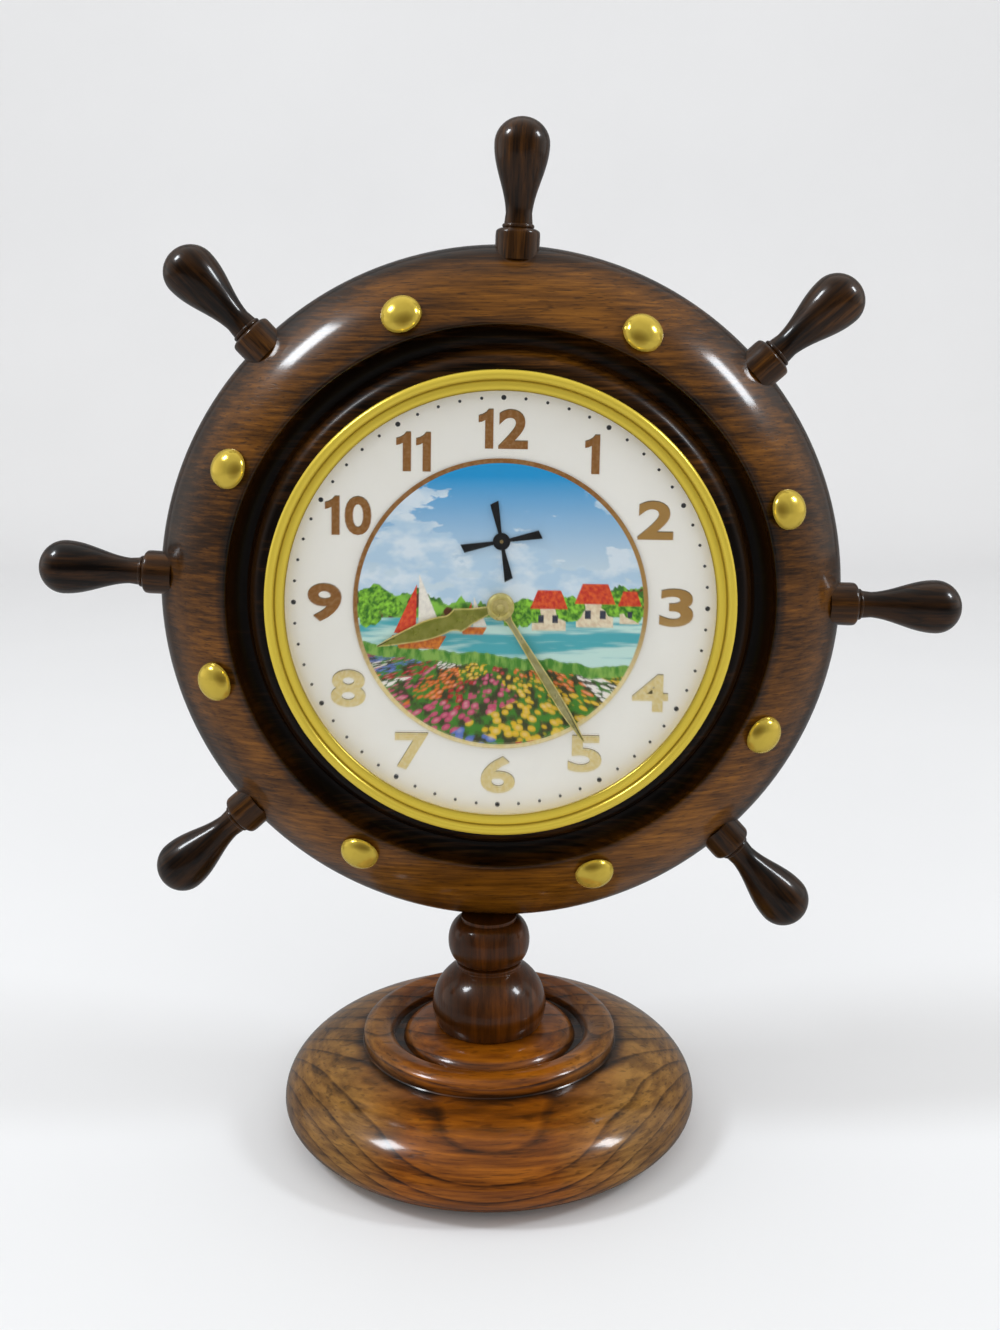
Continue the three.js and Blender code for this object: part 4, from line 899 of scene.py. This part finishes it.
def dialPaint():
    material, tree, shader = newMaterial("dial_paint")
    point = objectPoint(tree)
    age = ranged(tree, noise(tree, point, 26.0, 4.0, Roughness=0.55), 0.35, 0.7)
    put(shader, Base_Color=mixed(tree, age, dial["paint"], dial["paintAged"]),
        Roughness=smeared(tree, point, 1.0, 0.32, 0.42),
        Normal=relief(tree, noise(tree, point, 3000.0, 1.0), 0.03, 0.0001))
    return material


def addDial():
    hole, radius, front = dial["hole"], dial["radius"], -dial["front"]
    back = front + dial["thickness"]
    outline = [(hole, back), (hole, front), (radius, front), (radius, back)]
    turned("dial_face", outline, dialPaint(), 128, place=dialPlace, replaces=["dial_plate"])


def addDots():
    bm = bmesh.new()
    circle, height = dial["dotCircle"], dial["dotThickness"]
    for i in range(60):
        angle = radians(i * 6)
        size = (dial["minuteDot"] if i % 5 else dial["hourDot"]) * mm
        centre = shifted(circle * sin(angle), -dial["front"] - height / 2, circle * cos(angle))
        bmesh.ops.create_cone(bm, cap_ends=True, segments=14, radius1=size, radius2=size * 0.9,
                              depth=height * mm, matrix=centre @ upright)
    finished("minute_dots", bm, dotBlack, place=dialPlace, crease=20)


# Numerals and the thin ring, one gilt foil with a painted reflection: bronze in the upper half of the dial,
# pale gold in the lower.
foilTones = {
    "bronze": (0.290, 0.118, 0.022),
    "bronzeWorn": (0.370, 0.185, 0.060),
    "gold": (0.800, 0.640, 0.270),
    "goldWorn": (0.860, 0.740, 0.420),
    "right": (0.470, 0.275, 0.075),    # painted reflection, paler at 2 and 3
    "rightFrom": (24, 35, 0, 0.8),     # from the dial's middle, mm
    "change": (-19, -3),               # heights from the dial's middle
}


def giltFoil():
    material, tree, shader = newMaterial("gilt_foil")
    x, y, z = split(tree, wheelPoint(tree))
    wearAndSheen = ranged(tree, noise(tree, objectPoint(tree), 1100.0, 3.0), 0.42, 0.66)
    bronze = mixed(tree, wearAndSheen, foilTones["bronze"], foilTones["bronzeWorn"])
    # painted reflection: paler towards 2 and 3, then bronze above and pale gold below by height
    upper = mixed(tree, between(tree, x, *foilTones["rightFrom"]), bronze, foilTones["right"])
    lower = mixed(tree, wearAndSheen, foilTones["gold"], foilTones["goldWorn"])
    put(shader, Base_Color=mixed(tree, between(tree, z, *foilTones["change"]), lower, upper),
        Metallic=0.15, Roughness=0.38)
    return material


foil = giltFoil()

# Broad sans numerals, mm. The 1 is drawn here, and the other digits come from the built-in font.
numeral = {
    "height": 9.7,
    "thickness": 0.12,
    "bold": 0.027,
    "one": ((1.65, 0), (3.7, 0), (3.7, 9.7), (2.5, 9.7), (1.9, 8.95), (1.0, 8.4), (0, 8.1), (0, 6.5),
            (0.9, 6.7), (1.65, 7.1)),
    "oneWidth": 3.7,
    "widths": {2: 9.0, 3: 8.6, 4: 9.2, 5: 8.7, 6: 8.9, 7: 8.7, 8: 8.9, 9: 8.6},
    "pairs": {10: 6.7, 12: 7.4},   # width of the second digit
    "gap": 1.25,
    "shade": 0.26,                 # how far the painted shadow shows above a digit
    "shadeFront": 0.01,
    "shadeThickness": 0.4,         # share of the digit's
}


def digitOne():
    bm = plate([(x * mm, y * mm, 0) for x, y in numeral["one"]], (0, 0, numeral["thickness"] * mm))
    return bm, numeral["oneWidth"]


def digitFromFont(digit, width):
    curve = bpy.data.curves.new("digit", "FONT")
    curve.body = str(digit)
    curve.offset = numeral["bold"]
    curve.resolution_u = 5
    curve.extrude = 0.5
    made = newObject("digit", curve)
    bpy.context.view_layer.update()
    low, high = Vector(made.bound_box[0]), Vector(made.bound_box[6])
    mesh = bpy.data.meshes.new_from_object(made)
    bpy.data.objects.remove(made)
    bm = bmesh.new()
    bm.from_mesh(mesh)
    bmesh.ops.remove_doubles(bm, verts=bm.verts, dist=1e-5)
    size = high - low
    scale = (width * mm / size.x, numeral["height"] * mm / size.y, numeral["thickness"] * mm / size.z, 1)
    bm.transform(Matrix.Diagonal(scale) @ Matrix.Translation(-low))
    return bm, width


def hourDigits(hour):
    if hour in (1, 11):
        return [digitOne() for digit in str(hour)]
    if hour < 10:
        return [digitFromFont(hour, numeral["widths"][hour])]
    return [digitOne(), digitFromFont(hour - 10, numeral["pairs"][hour])]


def joinInto(whole, part, place):
    part.transform(place)
    spare = bpy.data.meshes.new("spare")
    part.to_mesh(spare)
    whole.from_mesh(spare)
    bpy.data.meshes.remove(spare)
    part.free()


# Each digit has a painted shadow: a thin dark copy a little above it, for the shaded upper edge of the
# raised foil.
def addNumerals():
    face, shade = bmesh.new(), bmesh.new()
    thinner = Matrix.Diagonal((1, 1, numeral["shadeThickness"], 1))
    for hour in range(1, 13):
        digits = hourDigits(hour)
        total = sum(width for bm, width in digits) + numeral["gap"] * (len(digits) - 1)
        angle = radians(hour * 30)
        x = dial["numeralCircle"] * sin(angle) - total / 2
        z = dial["numeralCircle"] * cos(angle) - numeral["height"] / 2
        for bm, width in digits:
            lifted = shifted(x, -dial["front"] - numeral["shadeFront"], z + numeral["shade"])
            joinInto(shade, bm.copy(), dialPlace @ lifted @ upright @ thinner)
            joinInto(face, bm, dialPlace @ shifted(x, -dial["front"], z) @ upright)
            x += width + numeral["gap"]
    for bm in (face, shade):
        bmesh.ops.recalc_face_normals(bm, faces=bm.faces)
    finished("numerals", face, foil, crease=30)
    finished("numeral_shades", shade, numeralShadowPaint, crease=30)


addDial()
addDots()
addNumerals()
print("dial done")


# Round picture: a bay with a village and drifts of flowers, of the script's own design

picture = {
    "sky": (0.000, 0.310, 0.680),
    "skyLow": (0.590, 0.730, 0.830),
    "cloud": (0.460, 0.650, 0.820),
    "cloudLight": (0.700, 0.810, 0.900),
    "sea": (0.070, 0.420, 0.480),
    "seaLight": (0.560, 0.800, 0.740),
    "hill": (0.045, 0.190, 0.020),
    "hillLight": (0.240, 0.560, 0.050),
    "hillRusty": (0.13, 0.035, 0.012),
    "bank": (0.060, 0.260, 0.020),
    "bankLight": (0.260, 0.480, 0.080),
    "soil": (0.055, 0.060, 0.020),
    "petal": (0.9, 0.85, 0.7),
    "blooms": ((0.78, 0.50, 0.012), (0.50, 0.008, 0.016), (0.88, 0.84, 0.78), (0.76, 0.17, 0.012),
               (0.11, 0.19, 0.56), (0.80, 0.56, 0.03), (0.60, 0.07, 0.17)),
    "bloomSize": 10.0,     # blossoms across the distance to the far shore
    "rowSpread": 1.25,     # rows of blossoms close up towards the vanishing height
    "vanishing": -0.006,   # metres, as the four below
    "nearest": 0.002,
    "ridgeWave": 0.017,
    "ridgeFoot": -0.0085,
    "shoreWave": 0.006,
    "hillRise": 0.13,      # to each side, as a slope
    "shoreSlope": -0.10,
    "skyRange": (8, 33),   # heights in mm, as the rest
    "cloudRange": (4, 36, 0.14, -0.10),
    "horizon": -3.0,
    "shore": -16.0,
    "gardenBelowShore": 3.0,
    "edge": 35.9,          # radius
}


def pictureMaterial():
    material, tree, shader = newMaterial("printed_picture")
    point = wheelPoint(tree)
    x, y, z = split(tree, point)

    def dabs(scale, detail, squash=(1, 1, 1), shift=(0, 0, 0)):
        at = put(node(tree, "Mapping"), Vector=point, Scale=squash, Location=shift)
        return noise(tree, at.outputs[0], scale, detail, Roughness=0.55)

    def painted(mask, low, high, first, second):
        return mixed(tree, ranged(tree, mask, low, high), first, second)

    # sky with heaped clouds
    sky = mixed(tree, between(tree, z, *picture["skyRange"]), picture["skyLow"], picture["sky"])
    heap = plus(tree, dabs(52.0, 5.0, (0.75, 1, 1.5), (0.031, 0, 0.02)),
                between(tree, z, *picture["cloudRange"]))
    puffs = dabs(150.0, 4.0, (0.8, 1, 1.4))
    billow = painted(puffs, 0.42, 0.60, picture["cloud"], picture["cloudLight"])
    sky = painted(heap, 0.500, 0.516, sky, billow)
    # far hills and woods
    ridge = maths(tree, "MULTIPLY_ADD", dabs(120.0, 4.0, (1, 0, 0)), picture["ridgeWave"],
                  picture["ridgeFoot"])
    hillTop = plus(tree, ridge, times(tree, maths(tree, "ABSOLUTE", x), picture["hillRise"]))
    leaves = dabs(330.0, 4.0)
    hill = painted(leaves, 0.42, 0.58, picture["hill"], picture["hillLight"])
    hill = painted(dabs(210.0, 3.0, shift=(0.2, 0, 0.7)), 0.56, 0.60, hill, picture["hillRusty"])
    colour = mixed(tree, maths(tree, "GREATER_THAN", hillTop, z), sky, hill)
    # water with streaks of light
    sea = painted(dabs(200.0, 3.0, (0.16, 1, 1.7)), 0.45, 0.55, picture["sea"], picture["seaLight"])
    colour = mixed(tree, maths(tree, "LESS_THAN", z, picture["horizon"] * mm), colour, sea)
    # green bank
    wave = dabs(110.0, 3.0, (1, 0, 0), (0.4, 0, 0))
    edge = maths(tree, "MULTIPLY_ADD", wave, picture["shoreWave"], picture["shore"] * mm)
    edge = plus(tree, edge, times(tree, x, picture["shoreSlope"]))
    grass = painted(dabs(520.0, 4.0, (1, 1, 0.4)), 0.42, 0.58, picture["bank"], picture["bankLight"])
    colour = mixed(tree, maths(tree, "LESS_THAN", z, edge), colour, grass)
    # drifts of flowers, larger towards the front
    near = maths(tree, "MAXIMUM", minus(tree, picture["vanishing"], z), picture["nearest"])
    rows = times(tree, maths(tree, "LOGARITHM", near, 2.718), picture["rowSpread"])
    flat = put(node(tree, "CombineXYZ"), X=maths(tree, "DIVIDE", x, near), Y=rows).outputs[0]
    drifts = put(node(tree, "TexVoronoi"), Vector=flat, Scale=1.3, Randomness=0.85)
    pick = put(node(tree, "SeparateColor"), Color=drifts.outputs["Color"]).outputs[0]
    tints = picture["blooms"]
    tint = ramp(tree, pick, [i / len(tints) for i in range(len(tints))], tints)
    tint.node.color_ramp.interpolation = "CONSTANT"
    blossoms = put(node(tree, "TexVoronoi"), Vector=flat, Scale=picture["bloomSize"], Randomness=0.75)
    reach = blossoms.outputs["Distance"]
    bloom = painted(reach, 0.10, 0.40, mixed(tree, 0.35, tint, picture["petal"]), tint)
    ground = painted(leaves, 0.44, 0.56, picture["soil"], picture["bank"])
    bloom = painted(reach, 0.47, 0.56, bloom, ground)
    garden = minus(tree, edge, picture["gardenBelowShore"] * mm)
    put(shader, Base_Color=mixed(tree, maths(tree, "LESS_THAN", z, garden), colour, bloom),
        Roughness=ranged(tree, leaves, 0.3, 0.7, 0.38, 0.46))
    return material


def addPicture():
    front, rim, hole = -dial["pictureFront"], dial["pictureRadius"], dial["hole"]
    outline = [(hole, front + 0.3), (hole, front), (rim, front), (rim, front + 0.3)]
    turned("picture_print", outline, pictureMaterial(), 128, place=dialPlace, replaces=["picture_disc"])
    border = [(rim - 1.0, front + 0.02), (rim - 0.8, front - 0.06), (rim + 0.05, front - 0.06),
              (rim + 0.2, front + 0.1), (rim + 0.2, front + 0.3)]
    turned("picture_border", border, foil, 128, place=dialPlace)


# Flat coloured shapes on the picture, kept within its border.
def paintedPatch(name, outlines, lift, colour, second=None):
    bm = bmesh.new()
    for outline in outlines:
        corners = []
        for x, z in outline:
            keep = min(1, picture["edge"] / max(0.01, sqrt(x * x + z * z))) * mm
            corners.append(bm.verts.new((x * keep, -(dial["pictureFront"] + lift) * mm, z * keep)))
        face = bm.faces.new(corners)
        face.normal_update()
        if face.normal.y > 0:
            face.normal_flip()
    paint = plainPaint(name + "_printed", colour, 0.42, second=second, scale=900.0)
    finished(name, bm, paint, place=dialPlace)


def box(x, z, width, height):
    return [(x, z), (x + width, z), (x + width, z + height), (x, z + height)]


def roof(x, z, width, height):
    eaves, slant = motifs["eaves"], motifs["roofSlant"] * width
    top = z + height
    return [(x - eaves, z), (x + width + eaves, z), (x + width - slant, top), (x + slant, top)]


motifs = {
    # left, foot, width, height of the walls and of the roof
    "cottages": ((8.0, -6.2, 8.6, 5.6, 4.8), (19.2, -5.2, 9.4, 6.0, 5.2), (30.2, -4.2, 5.0, 4.6, 3.8)),
    "eaves": 0.5,
    "roofSlant": 0.16,      # share of the width
    "windows": ((9.6, -4.2, 1.4, 2.0), (13.2, -4.2, 1.4, 2.0), (21.4, -3.0, 1.5, 2.2),
                (25.2, -3.0, 1.5, 2.2), (32.2, -2.6, 1.2, 1.6)),
    "hulls": (((-27.5, -8.0), (-13.6, -8.0), (-15.6, -11.4), (-25.6, -11.4)),
              ((-10.4, -5.6), (-3.4, -5.6), (-4.4, -7.5), (-9.4, -7.5))),
    "sails": (((-20.8, -7.5), (-14.4, -7.2), (-20.6, 7.8)), ((-6.9, -5.4), (-3.4, -5.2), (-6.8, 2.2))),
    "jibs": (((-27.0, -7.4), (-21.4, -7.5), (-21.2, 5.2)), ((-10.2, -5.3), (-7.4, -5.4), (-7.3, 0.8))),
    # middle and size of each crown
    "trees": ((6.2, -1.6, 4.0), (17.6, -0.4, 3.8), (29.4, 1.2, 3.8), (34.2, -0.4, 3.6), (3.2, -3.4, 2.6),
              (-35.0, 0.4, 4.0), (-31.4, 1.4, 3.8), (-27.6, -0.6, 3.0), (-33.4, -3.0, 3.2)),
}


def addMotifs():
    cottages = motifs["cottages"]
    walls = [box(x, z, width, height) for x, z, width, height, top in cottages]
    roofs = [roof(x, z + height, width, top) for x, z, width, height, top in cottages]
    windows = [box(*window) for window in motifs["windows"]]
    paintedPatch("cottage_walls", walls, 0.02, (0.84, 0.74, 0.54), (0.70, 0.55, 0.36))
    paintedPatch("cottage_roofs", roofs, 0.03, (0.58, 0.018, 0.008), (0.78, 0.11, 0.015))
    paintedPatch("cottage_windows", windows, 0.04, (0.03, 0.035, 0.06))
    paintedPatch("boat_hulls", motifs["hulls"], 0.03, (0.54, 0.10, 0.01), (0.80, 0.26, 0.02))
    paintedPatch("boat_sails", motifs["sails"], 0.03, (0.90, 0.86, 0.76), (0.78, 0.74, 0.66))
    paintedPatch("boat_jibs", motifs["jibs"], 0.03, (0.66, 0.02, 0.01), (0.80, 0.11, 0.02))
    random.seed(11)
    for i, (x, z, size) in enumerate(motifs["trees"]):
        crown = []
        for k in range(18):
            angle = 2 * pi * k / 18
            reach = size * (1 + random.uniform(-0.16, 0.16))
            crown.append((x + reach * cos(angle), z + reach * 0.9 * sin(angle)))
        paintedPatch(f"tree_crown_{i + 1}", [crown], 0.024 + 0.001 * i, (0.030, 0.17, 0.008),
                     (0.30, 0.68, 0.04))


addPicture()
addMotifs()
print("picture done")


# Hands and rotor

hands = {
    "hour": {"length": 33.0, "width": 6.2, "angle": 251.0, "front": 19.8, "margin": 0.28},
    "minute": {"length": 41.0, "width": 2.4, "angle": 147.8, "front": 20.4, "margin": 0.22},
    "thickness": 0.3,
    "edge": 0.06,
    "nut": (3.4, 20.7, 0.9),     # radius, back and height
}


# Each hand is given as the right half of its outline, from its round hub to its tip.
def addHand(kind, name, right, finish):
    hand = hands[kind]
    right.append((0, hand["length"] + 0.05))
    outline = right + [(-x, z) for x, z in reversed(right[1:-1])]
    flatPiece(name, outline, hand["front"], hands["thickness"], paleGold, hands["edge"],
              margin=hand["margin"], second=finish, place=dialPlace @ clockwise(hand["angle"]),
              body=kind + "_work", replaces=[kind + "_hand"])


def addHands():
    half, length = hands["hour"]["width"] / 2, hands["hour"]["length"]
    right = [(0, -3.5)] + arc(0, 0, 3.5, 3.5, -75, 68, 12) + [(1.15, 3.5)]
    right += smoothLine([(half * 0.62, 7.4), (half * 0.98, 11.0), (half, 11.5)], 3)
    right += smoothLine([(half * 0.86, 12.1), (half * 0.68, 13.6), (half * 0.76, 15.6), (half * 0.81, 18.2),
                         (half * 0.76, 21.2), (half * 0.57, 25.0), (half * 0.32, 29.4), (0.15, length)], 4)
    addHand("hour", "hour_hand_leaf", right, hourGold)
    half, length = hands["minute"]["width"] / 2, hands["minute"]["length"]
    right = [(0, -3.2)] + arc(0, 0, 3.2, 3.2, -75, 66, 12)
    right += smoothLine([(0.78, 4.4), (0.80, 8.0), (half * 0.82, 16.0), (half, length * 0.62),
                         (half * 0.9, length * 0.8), (half * 0.5, length * 0.93), (0.15, length)], 4)
    addHand("minute", "minute_hand_blade", right, minuteGold)


def addNut():
    radius, back, height = hands["nut"]
    front = -back - height
    outline = [(0, -back), (radius, -back), (radius, -back - 0.25)]
    outline += smoothLine([(radius - 0.1, -back - 0.55), (radius - 0.5, front + 0.06),
                           (radius - 0.85, front), (radius - 1.15, front + 0.1),
                           (radius - 1.4, -back - 0.35)], 4)
    outline += [(0.95, -back - 0.3), (0.95, front + 0.12), (0.75, front), (0, front)]
    turned("hand_nut_ring", outline, nutGold, 48, place=dialPlace, body="minute_work",
           replaces=["hand_nut"])


rotor = {
    "radius": 10.3,
    "tipWidth": 2.2,
    "rootWidth": 0.84,
    "hub": 2.2,
    "slant": 0.6,       # how much shorter each vane is at one side of its tip
    "angle": -11.3,
    "front": 19.2,
    "thickness": 0.3,
    "edge": 0.05,
}


def addRotor():
    tip, root = rotor["tipWidth"] / 2, rotor["rootWidth"] / 2
    reach, hub = rotor["radius"], rotor["hub"]
    vane = [(-root, hub * 0.93), (-tip, reach - rotor["slant"]), (tip, reach), (root, hub * 0.93)]
    vane += arc(0, 0, hub, hub, 78, 12, 5)
    outline = []
    for i in range(4):
        turn = radians(-90 * i)
        outline += [(x * cos(turn) - z * sin(turn), x * sin(turn) + z * cos(turn)) for x, z in vane]
    flatPiece("rotor_vanes", outline, rotor["front"], rotor["thickness"], rotorBlack, rotor["edge"],
              place=dialPlace @ shifted(0, 0, places["rotorHeight"]) @ clockwise(rotor["angle"]),
              body="escape_work", replaces=["rotor"])


addHands()
addNut()
addRotor()
print("hands and rotor done")


# Back of the clock

back = {
    "caseRadius": 55.6,
    "caseFront": -17.0,
    "caseBack": 14.3,
    "caseRound": 1.6,
    "opening": 38.0,
    "wall": 0.8,
    "knobRadius": 7.0,
    "knobFront": 16.4,
    "knobLength": 7.0,
    "knobFlutes": 20,
    "fluteDepth": 0.05,      # share of the radius
    "screws": ((-26.5, -35), (26.5, -35), (26.5, 35), (-26.5, 35)),
    "screwRadius": 1.9,
}


def addCase():
    radius, wall, opening, rounding = [back[key] for key in ("caseRadius", "wall", "opening", "caseRound")]
    front, rear = back["caseFront"], back["caseBack"]
    outline = [(radius, front)] + arc(radius - rounding, rear - rounding, rounding, rounding, 0, 90, 6)
    outline += [(opening, rear), (opening, rear - wall)]
    outline += arc(radius - rounding, rear - rounding, rounding - wall, rounding - wall, 90, 0, 4)
    outline += [(radius - wall, front)]
    turned("case_drum", outline, caseFinish, 128, place=dialPlace, replaces=["movement_case"])


# Fluted setting knob
def addKnob():
    bm = bmesh.new()
    radius, length = back["knobRadius"] * mm, back["knobLength"]
    bmesh.ops.create_cone(bm, cap_ends=True, segments=120, radius1=radius, radius2=radius,
                          depth=length * mm)
    for v in bm.verts:
        angle = atan2(v.co.y, v.co.x)
        inward = 1 - back["fluteDepth"] * (0.5 + 0.5 * cos(angle * back["knobFlutes"]))
        v.co.x *= inward
        v.co.y *= inward
    rims = [e for e in bm.edges if abs(e.verts[0].co.z - e.verts[1].co.z) < 1e-7]
    bmesh.ops.bevel(bm, geom=rims, offset=0.5 * mm, affect="EDGES", segments=3, profile=0.5, material=-1)
    place = dialPlace @ shifted(0, back["knobFront"] + length / 2, 0) @ upright
    finished("setting_knob", bm, knobBrass, place=place, body="minute_work", replaces=["set_knob"])


def addScrews():
    radius, rear = back["screwRadius"], back["caseBack"] + 0.3
    outline = [(0, rear), (radius, rear), (radius, rear + 0.5)]
    outline += arc(0, rear + 0.4, radius, 0.8, 8, 90, 6)[:-1] + [(0, rear + 1.2)]
    for i, (x, z) in enumerate(back["screws"]):
        turned(f"screw_head_{i + 1}", outline, plainSteel, 32, place=dialPlace @ shifted(x, 0, z),
               replaces=[f"case_screw_{i + 1}"])


# The pieces that keep their nodes, and what each is made of
keptNodes = (
    (plateBrass, ("front_plate", "back_plate", "great_wheel", "centre_wheel", "third_wheel", "fourth_wheel",
                  "escape_wheel", "balance_wheel", "minute_wheel", "hour_wheel", "plate_pillar_1",
                  "plate_pillar_2", "plate_pillar_3", "plate_pillar_4", "pillar_nut_1", "pillar_nut_2",
                  "pillar_nut_3", "pillar_nut_4")),
    (plainSteel, ("pallet_lever", "hairspring", "mainspring", "spring_arbor", "click", "centre_arbor")),
    (coverFinish, ("back_cover", "regulator_lever")),
    (knobBrass, ("winding_key",)),
)


def dressNodes():
    for finish, names in keptNodes:
        for name in names:
            slots = nodes[name].material_slots
            if slots:
                slots[0].material = finish
            else:
                nodes[name].data.materials.append(finish)


addCase()
addKnob()
addScrews()
dressNodes()
print("back and movement done")


# Room: pale floor, backdrop and soft lamps

room = {
    "floor": (0.82, 0.82, 0.83),
    "floorPaler": (0.86, 0.86, 0.87),
    "floorMirrored": 0.75,      # share of the floor's light that reflections lose
    "front": 0.02,              # strengths of the world seen in reflections
    "behind": 0.55,
    "overhead": 0.22,
    "aside": 0.30,
    "plain": 0.83,              # strength that lights the surfaces
    "world": (1.0, 0.99, 0.97),
    "halfWidth": 2.4,           # metres, as the six below
    "floorFront": -1.6,
    "bendFront": 0.9,
    "bend": 0.35,
    "wallTop": 1.9,
    "aim": (0, 0, 0.13),
    "distance": 1.25,
    "lampColour": (0.90, 0.95, 1.0),
    "lamps": (
        # direction, size (m), watts
        ((-0.660, -0.160, 0.732), (0.22, 0.28), 5.6),
        ((0.786, -0.141, 0.600), (0.18, 0.28), 4.2),
    ),
}


def paleSweep():
    material, tree, shader = newMaterial("pale_sweep")
    pale = mixed(tree, noise(tree, objectPoint(tree), 6.0, 2.0), room["floor"], room["floorPaler"])
    glossy = node(tree, "LightPath").outputs["Is Glossy Ray"]
    dimmer = times(tree, glossy, room["floorMirrored"])
    put(shader, Base_Color=mixed(tree, dimmer, pale, (0.02, 0.02, 0.02)), Roughness=0.6)
    return material


def addRoom():
    bend, bendFront = room["bend"], room["bendFront"]
    line = [(room["floorFront"], 0)] + arc(bendFront, bend, bend, bend, -90, 0, 9)
    line += [(bendFront + bend, room["wallTop"])]
    bm = bmesh.new()
    start = [bm.verts.new((-room["halfWidth"], y, z - 0.0002)) for y, z in line]
    edges = [bm.edges.new(pair) for pair in zip(start, start[1:])]
    pull(bm, bmesh.ops.extrude_edge_only(bm, edges=edges), (2 * room["halfWidth"], 0, 0))
    mesh = bpy.data.meshes.new("sweep")
    bm.to_mesh(mesh)
    bm.free()
    mesh.shade_smooth()
    mesh.materials.append(paleSweep())
    newObject("sweep", mesh)


def addLamps():
    for i, (direction, size, watts) in enumerate(room["lamps"]):
        data = bpy.data.lights.new(f"lamp_{i + 1}", "AREA")
        data.shape = "RECTANGLE"
        data.size, data.size_y = size
        data.energy = watts
        data.color = room["lampColour"]
        outward = Vector(direction).normalized()
        turn = (-outward).to_track_quat("-Z", "Y").to_matrix().to_4x4()
        place = Matrix.Translation(Vector(room["aim"]) + outward * room["distance"])
        newObject(data.name, data).matrix_world = place @ turn


# Reflections show a dimmer room than the one that lights the surfaces: dark in front, lighter behind,
# overhead and at both sides.
def addWorld():
    world = bpy.data.worlds.new("room")
    world.use_nodes = True
    tree = world.node_tree
    x, y, z = split(tree, node(tree, "TexCoord").outputs["Generated"])
    behind = ranged(tree, y, -0.25, 0.85, room["front"], room["behind"])
    overhead = ranged(tree, z, 0.35, 0.95, 0, room["overhead"])
    aside = ranged(tree, maths(tree, "ABSOLUTE", x), 0.72, 0.98, 0, room["aside"])
    mirrored = plus(tree, plus(tree, behind, overhead), aside)
    ray = node(tree, "LightPath").outputs
    opaque = minus(tree, 1.0, ray["Is Transmission Ray"])
    bounced = times(tree, ray["Is Glossy Ray"], opaque)
    strength = node(tree, "Mix", data_type="FLOAT")
    for i, value in ((0, bounced), (2, room["plain"]), (3, mirrored)):
        feed(strength.inputs[i], value)
    put(tree.nodes["Background"], Strength=strength.outputs[0], Color=room["world"])
    bpy.context.scene.world = world


addRoom()
addLamps()
addWorld()
bpy.context.scene.view_settings.view_transform = "Standard"
print("room ready")
